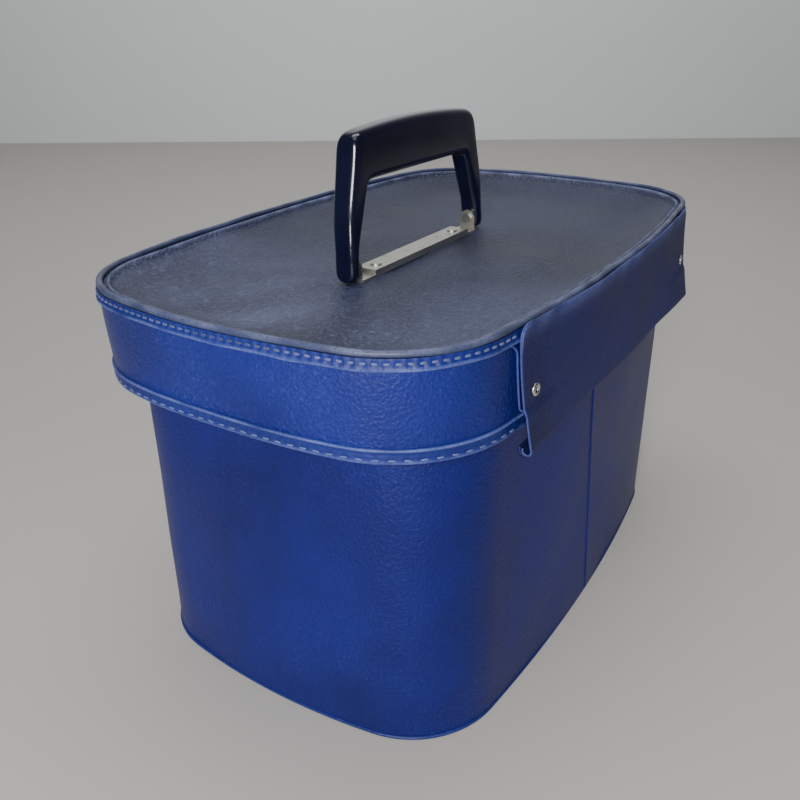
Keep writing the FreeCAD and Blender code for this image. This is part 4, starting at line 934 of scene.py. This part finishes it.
# The tub's lining cloth, its base pad, the tape over the rim, and the lid's two linings.
def buildInside():
    value = insideValues
    places = evenPlaces(tubArcs, 480)
    heights = np.linspace(value["padTop"] - 1.5, tubTop, 40)
    wall = sweepRing(tubArcs, tubArcs, places, [(value["lining"], z, 0) for z in heights])
    facing = wall[..., :2] / np.linalg.norm(wall[..., :2], axis=-1)[..., None]
    wall[..., :2] -= facing * (value["wrinkle"] + waver(wall, 34.0, value["wrinkle"], 6.0))[..., None]
    lining = attach(addGrid("tubLining", wall[::-1], True), "case", liningPaint,
                    ["body_lining"])
    pad = inwardRings(tubArcs, places, value["lining"] + 0.6, np.linspace(0, 30, 12), 70.0, 16)
    inward = pad[..., 2].copy()
    pad[..., 2] = 0
    swell = value["dome"] * smoothStep(inward / 26) + waver(pad, 46.0, 0.3, 7.0)
    pad[..., 2] = value["padTop"] - 1.4 + swell
    padItem = attach(addGrid("basePad", pad, True), "case", liningPaint,
                     ["base_lining"])
    skirt = tubTop - 4.8
    tape = [(-0.75, skirt - 0.4), (-0.35, skirt), (-0.3, tubTop + 0.3), (-0.9, tubTop + 1.1),
            (-2.9, tubTop + 1.2), (-5.0, tubTop + 1.1), (-5.75, tubTop + 0.3), (-6.2, skirt),
            (-5.7, skirt - 0.4)]
    rim = sweepRing(tubArcs, tubArcs, places, [(out, z, 0) for out, z in tape])
    rim[..., 2] += waver(rim, 30.0, 0.12, 8.0)
    attach(addGrid("rimTape", rim, True), "case", tapePaint, ["rim_binding"])
    roof = nodeBox("lid_top_lining")[0][2]
    edge = lidValues["lining"]
    rows = [lidRow(edge, z) for z in np.linspace(lidLow + 1.6, roof + 0.8, 12)]
    band = drapeRing(sweepRing(lidLowArcs, lidTopArcs, places, rows), 30.0, 0.25, 9.0)
    inner = attach(addGrid("lidBandLining", band[::-1], True), "lid", liningPaint,
                   ["lid_band_lining"])
    ceiling = inwardRings(lidTopArcs, places, edge + 0.8, np.linspace(0, 30, 14), 80.0, 18)
    inward = ceiling[..., 2].copy()
    ceiling[..., 2] = 0
    foldWearAndHighlight = np.sin(np.linspace(0, 2 * math.pi * 90, len(places), endpoint=False))
    gather = 0.28 * foldWearAndHighlight * np.exp(-inward / 9.0)
    ceiling[..., 2] = roof + 0.35 + gather + waver(ceiling, 50.0, 0.15, 10.0)
    attach(addGrid("lidRoofLining", ceiling[::-1], True), "lid", liningPaint,
           ["lid_top_lining"])


buildInside()
print("inside made")


def addPlane(name, size, level, colour):
    half = size / 2
    corners = np.array([(-half, -half, level), (half, -half, level),
                        (half, half, level), (-half, half, level)])
    item = addMesh(name, corners * 1000, [np.array([[0, 1, 2, 3]])], False)
    paint = Paint(name + "Paint", roughness=0.7)
    speckle = paint.noise(6.0, 3.0, 0.5)
    tone = paint.mix(speckle, colour, tuple(part * 0.96 for part in colour))
    item.data.materials.append(paint.finish(tone, None,
                                            paint.bump(paint.noise(300.0, 2.0, 0.5), 0.0001, 0.1)))
    return item


def addLight(name, place, target, size, power, colour):
    data = bpy.data.lights.new(name, "AREA")
    data.shape = "RECTANGLE"
    data.size, data.size_y = size
    data.energy = power
    data.color = colour
    item = bpy.data.objects.new(name, data)
    item.visible_camera = False
    item.location = place
    item.rotation_mode = "QUATERNION"
    item.rotation_quaternion = (Vector(place) - Vector(target)).to_track_quat("Z", "Y")
    bpy.context.scene.collection.objects.link(item)
    return item


addPlane("floor", 12.0, 0.0, (0.46, 0.445, 0.42))
wall = addPlane("wall", 12.0, 0.0, (0.74, 0.76, 0.78))
spin = Matrix.Translation((-1.45, -0.92, 0.0)) @ Matrix.Rotation(math.atan2(0.533, 0.846), 4, "Z")
wall.data.transform(spin @ Matrix.Rotation(math.pi / 2, 4, "Y"))
addLight("keyLight", (0.87, 0.38, 0.56), (0.1, 0.02, 0.14), (0.30, 0.26), 12.0, (1.0, 0.985, 0.96))
addLight("topLight", (0.35, 0.15, 1.4), (0.05, 0.0, 0.18), (0.9, 0.7), 3.6, (0.96, 0.98, 1.0))
addLight("glintLight", (0.83, 0.22, 0.13), (0.16, 0.03, 0.19), (0.12, 0.10), 1.7, (1.0, 0.99, 0.97))
addLight("wallLight", (-0.3, -0.2, 1.7), (-1.45, -0.92, 0.5), (1.4, 0.8), 22.0, (1.0, 1.0, 1.0))
world = bpy.data.worlds.new("world")
world.use_nodes = True
backdrop = world.node_tree.nodes["Background"]
backdrop.inputs["Color"].default_value = (0.80, 0.83, 0.87, 1)
backdrop.inputs["Strength"].default_value = 0.10
bpy.context.scene.world = world

view = {"place": (0.3705, 0.2102, 0.3005), "right": (-0.5306, 0.8476, -0.0066),
        "up": (-0.3713, -0.2254, 0.9007), "forward": (-0.7620, -0.4804, -0.4343), "lens": 36.48}
cameraData = bpy.data.cameras.new("camera")
cameraData.lens = view["lens"]
cameraData.sensor_width = 36.0
cameraData.clip_start = 0.01
camera = bpy.data.objects.new("camera", cameraData)
turned = Matrix((view["right"], view["up"], [-part for part in view["forward"]])).transposed()
camera.matrix_world = Matrix.Translation(view["place"]) @ turned.to_quaternion().to_matrix().to_4x4()
bpy.context.scene.collection.objects.link(camera)
bpy.context.scene.camera = camera
print("stage made")
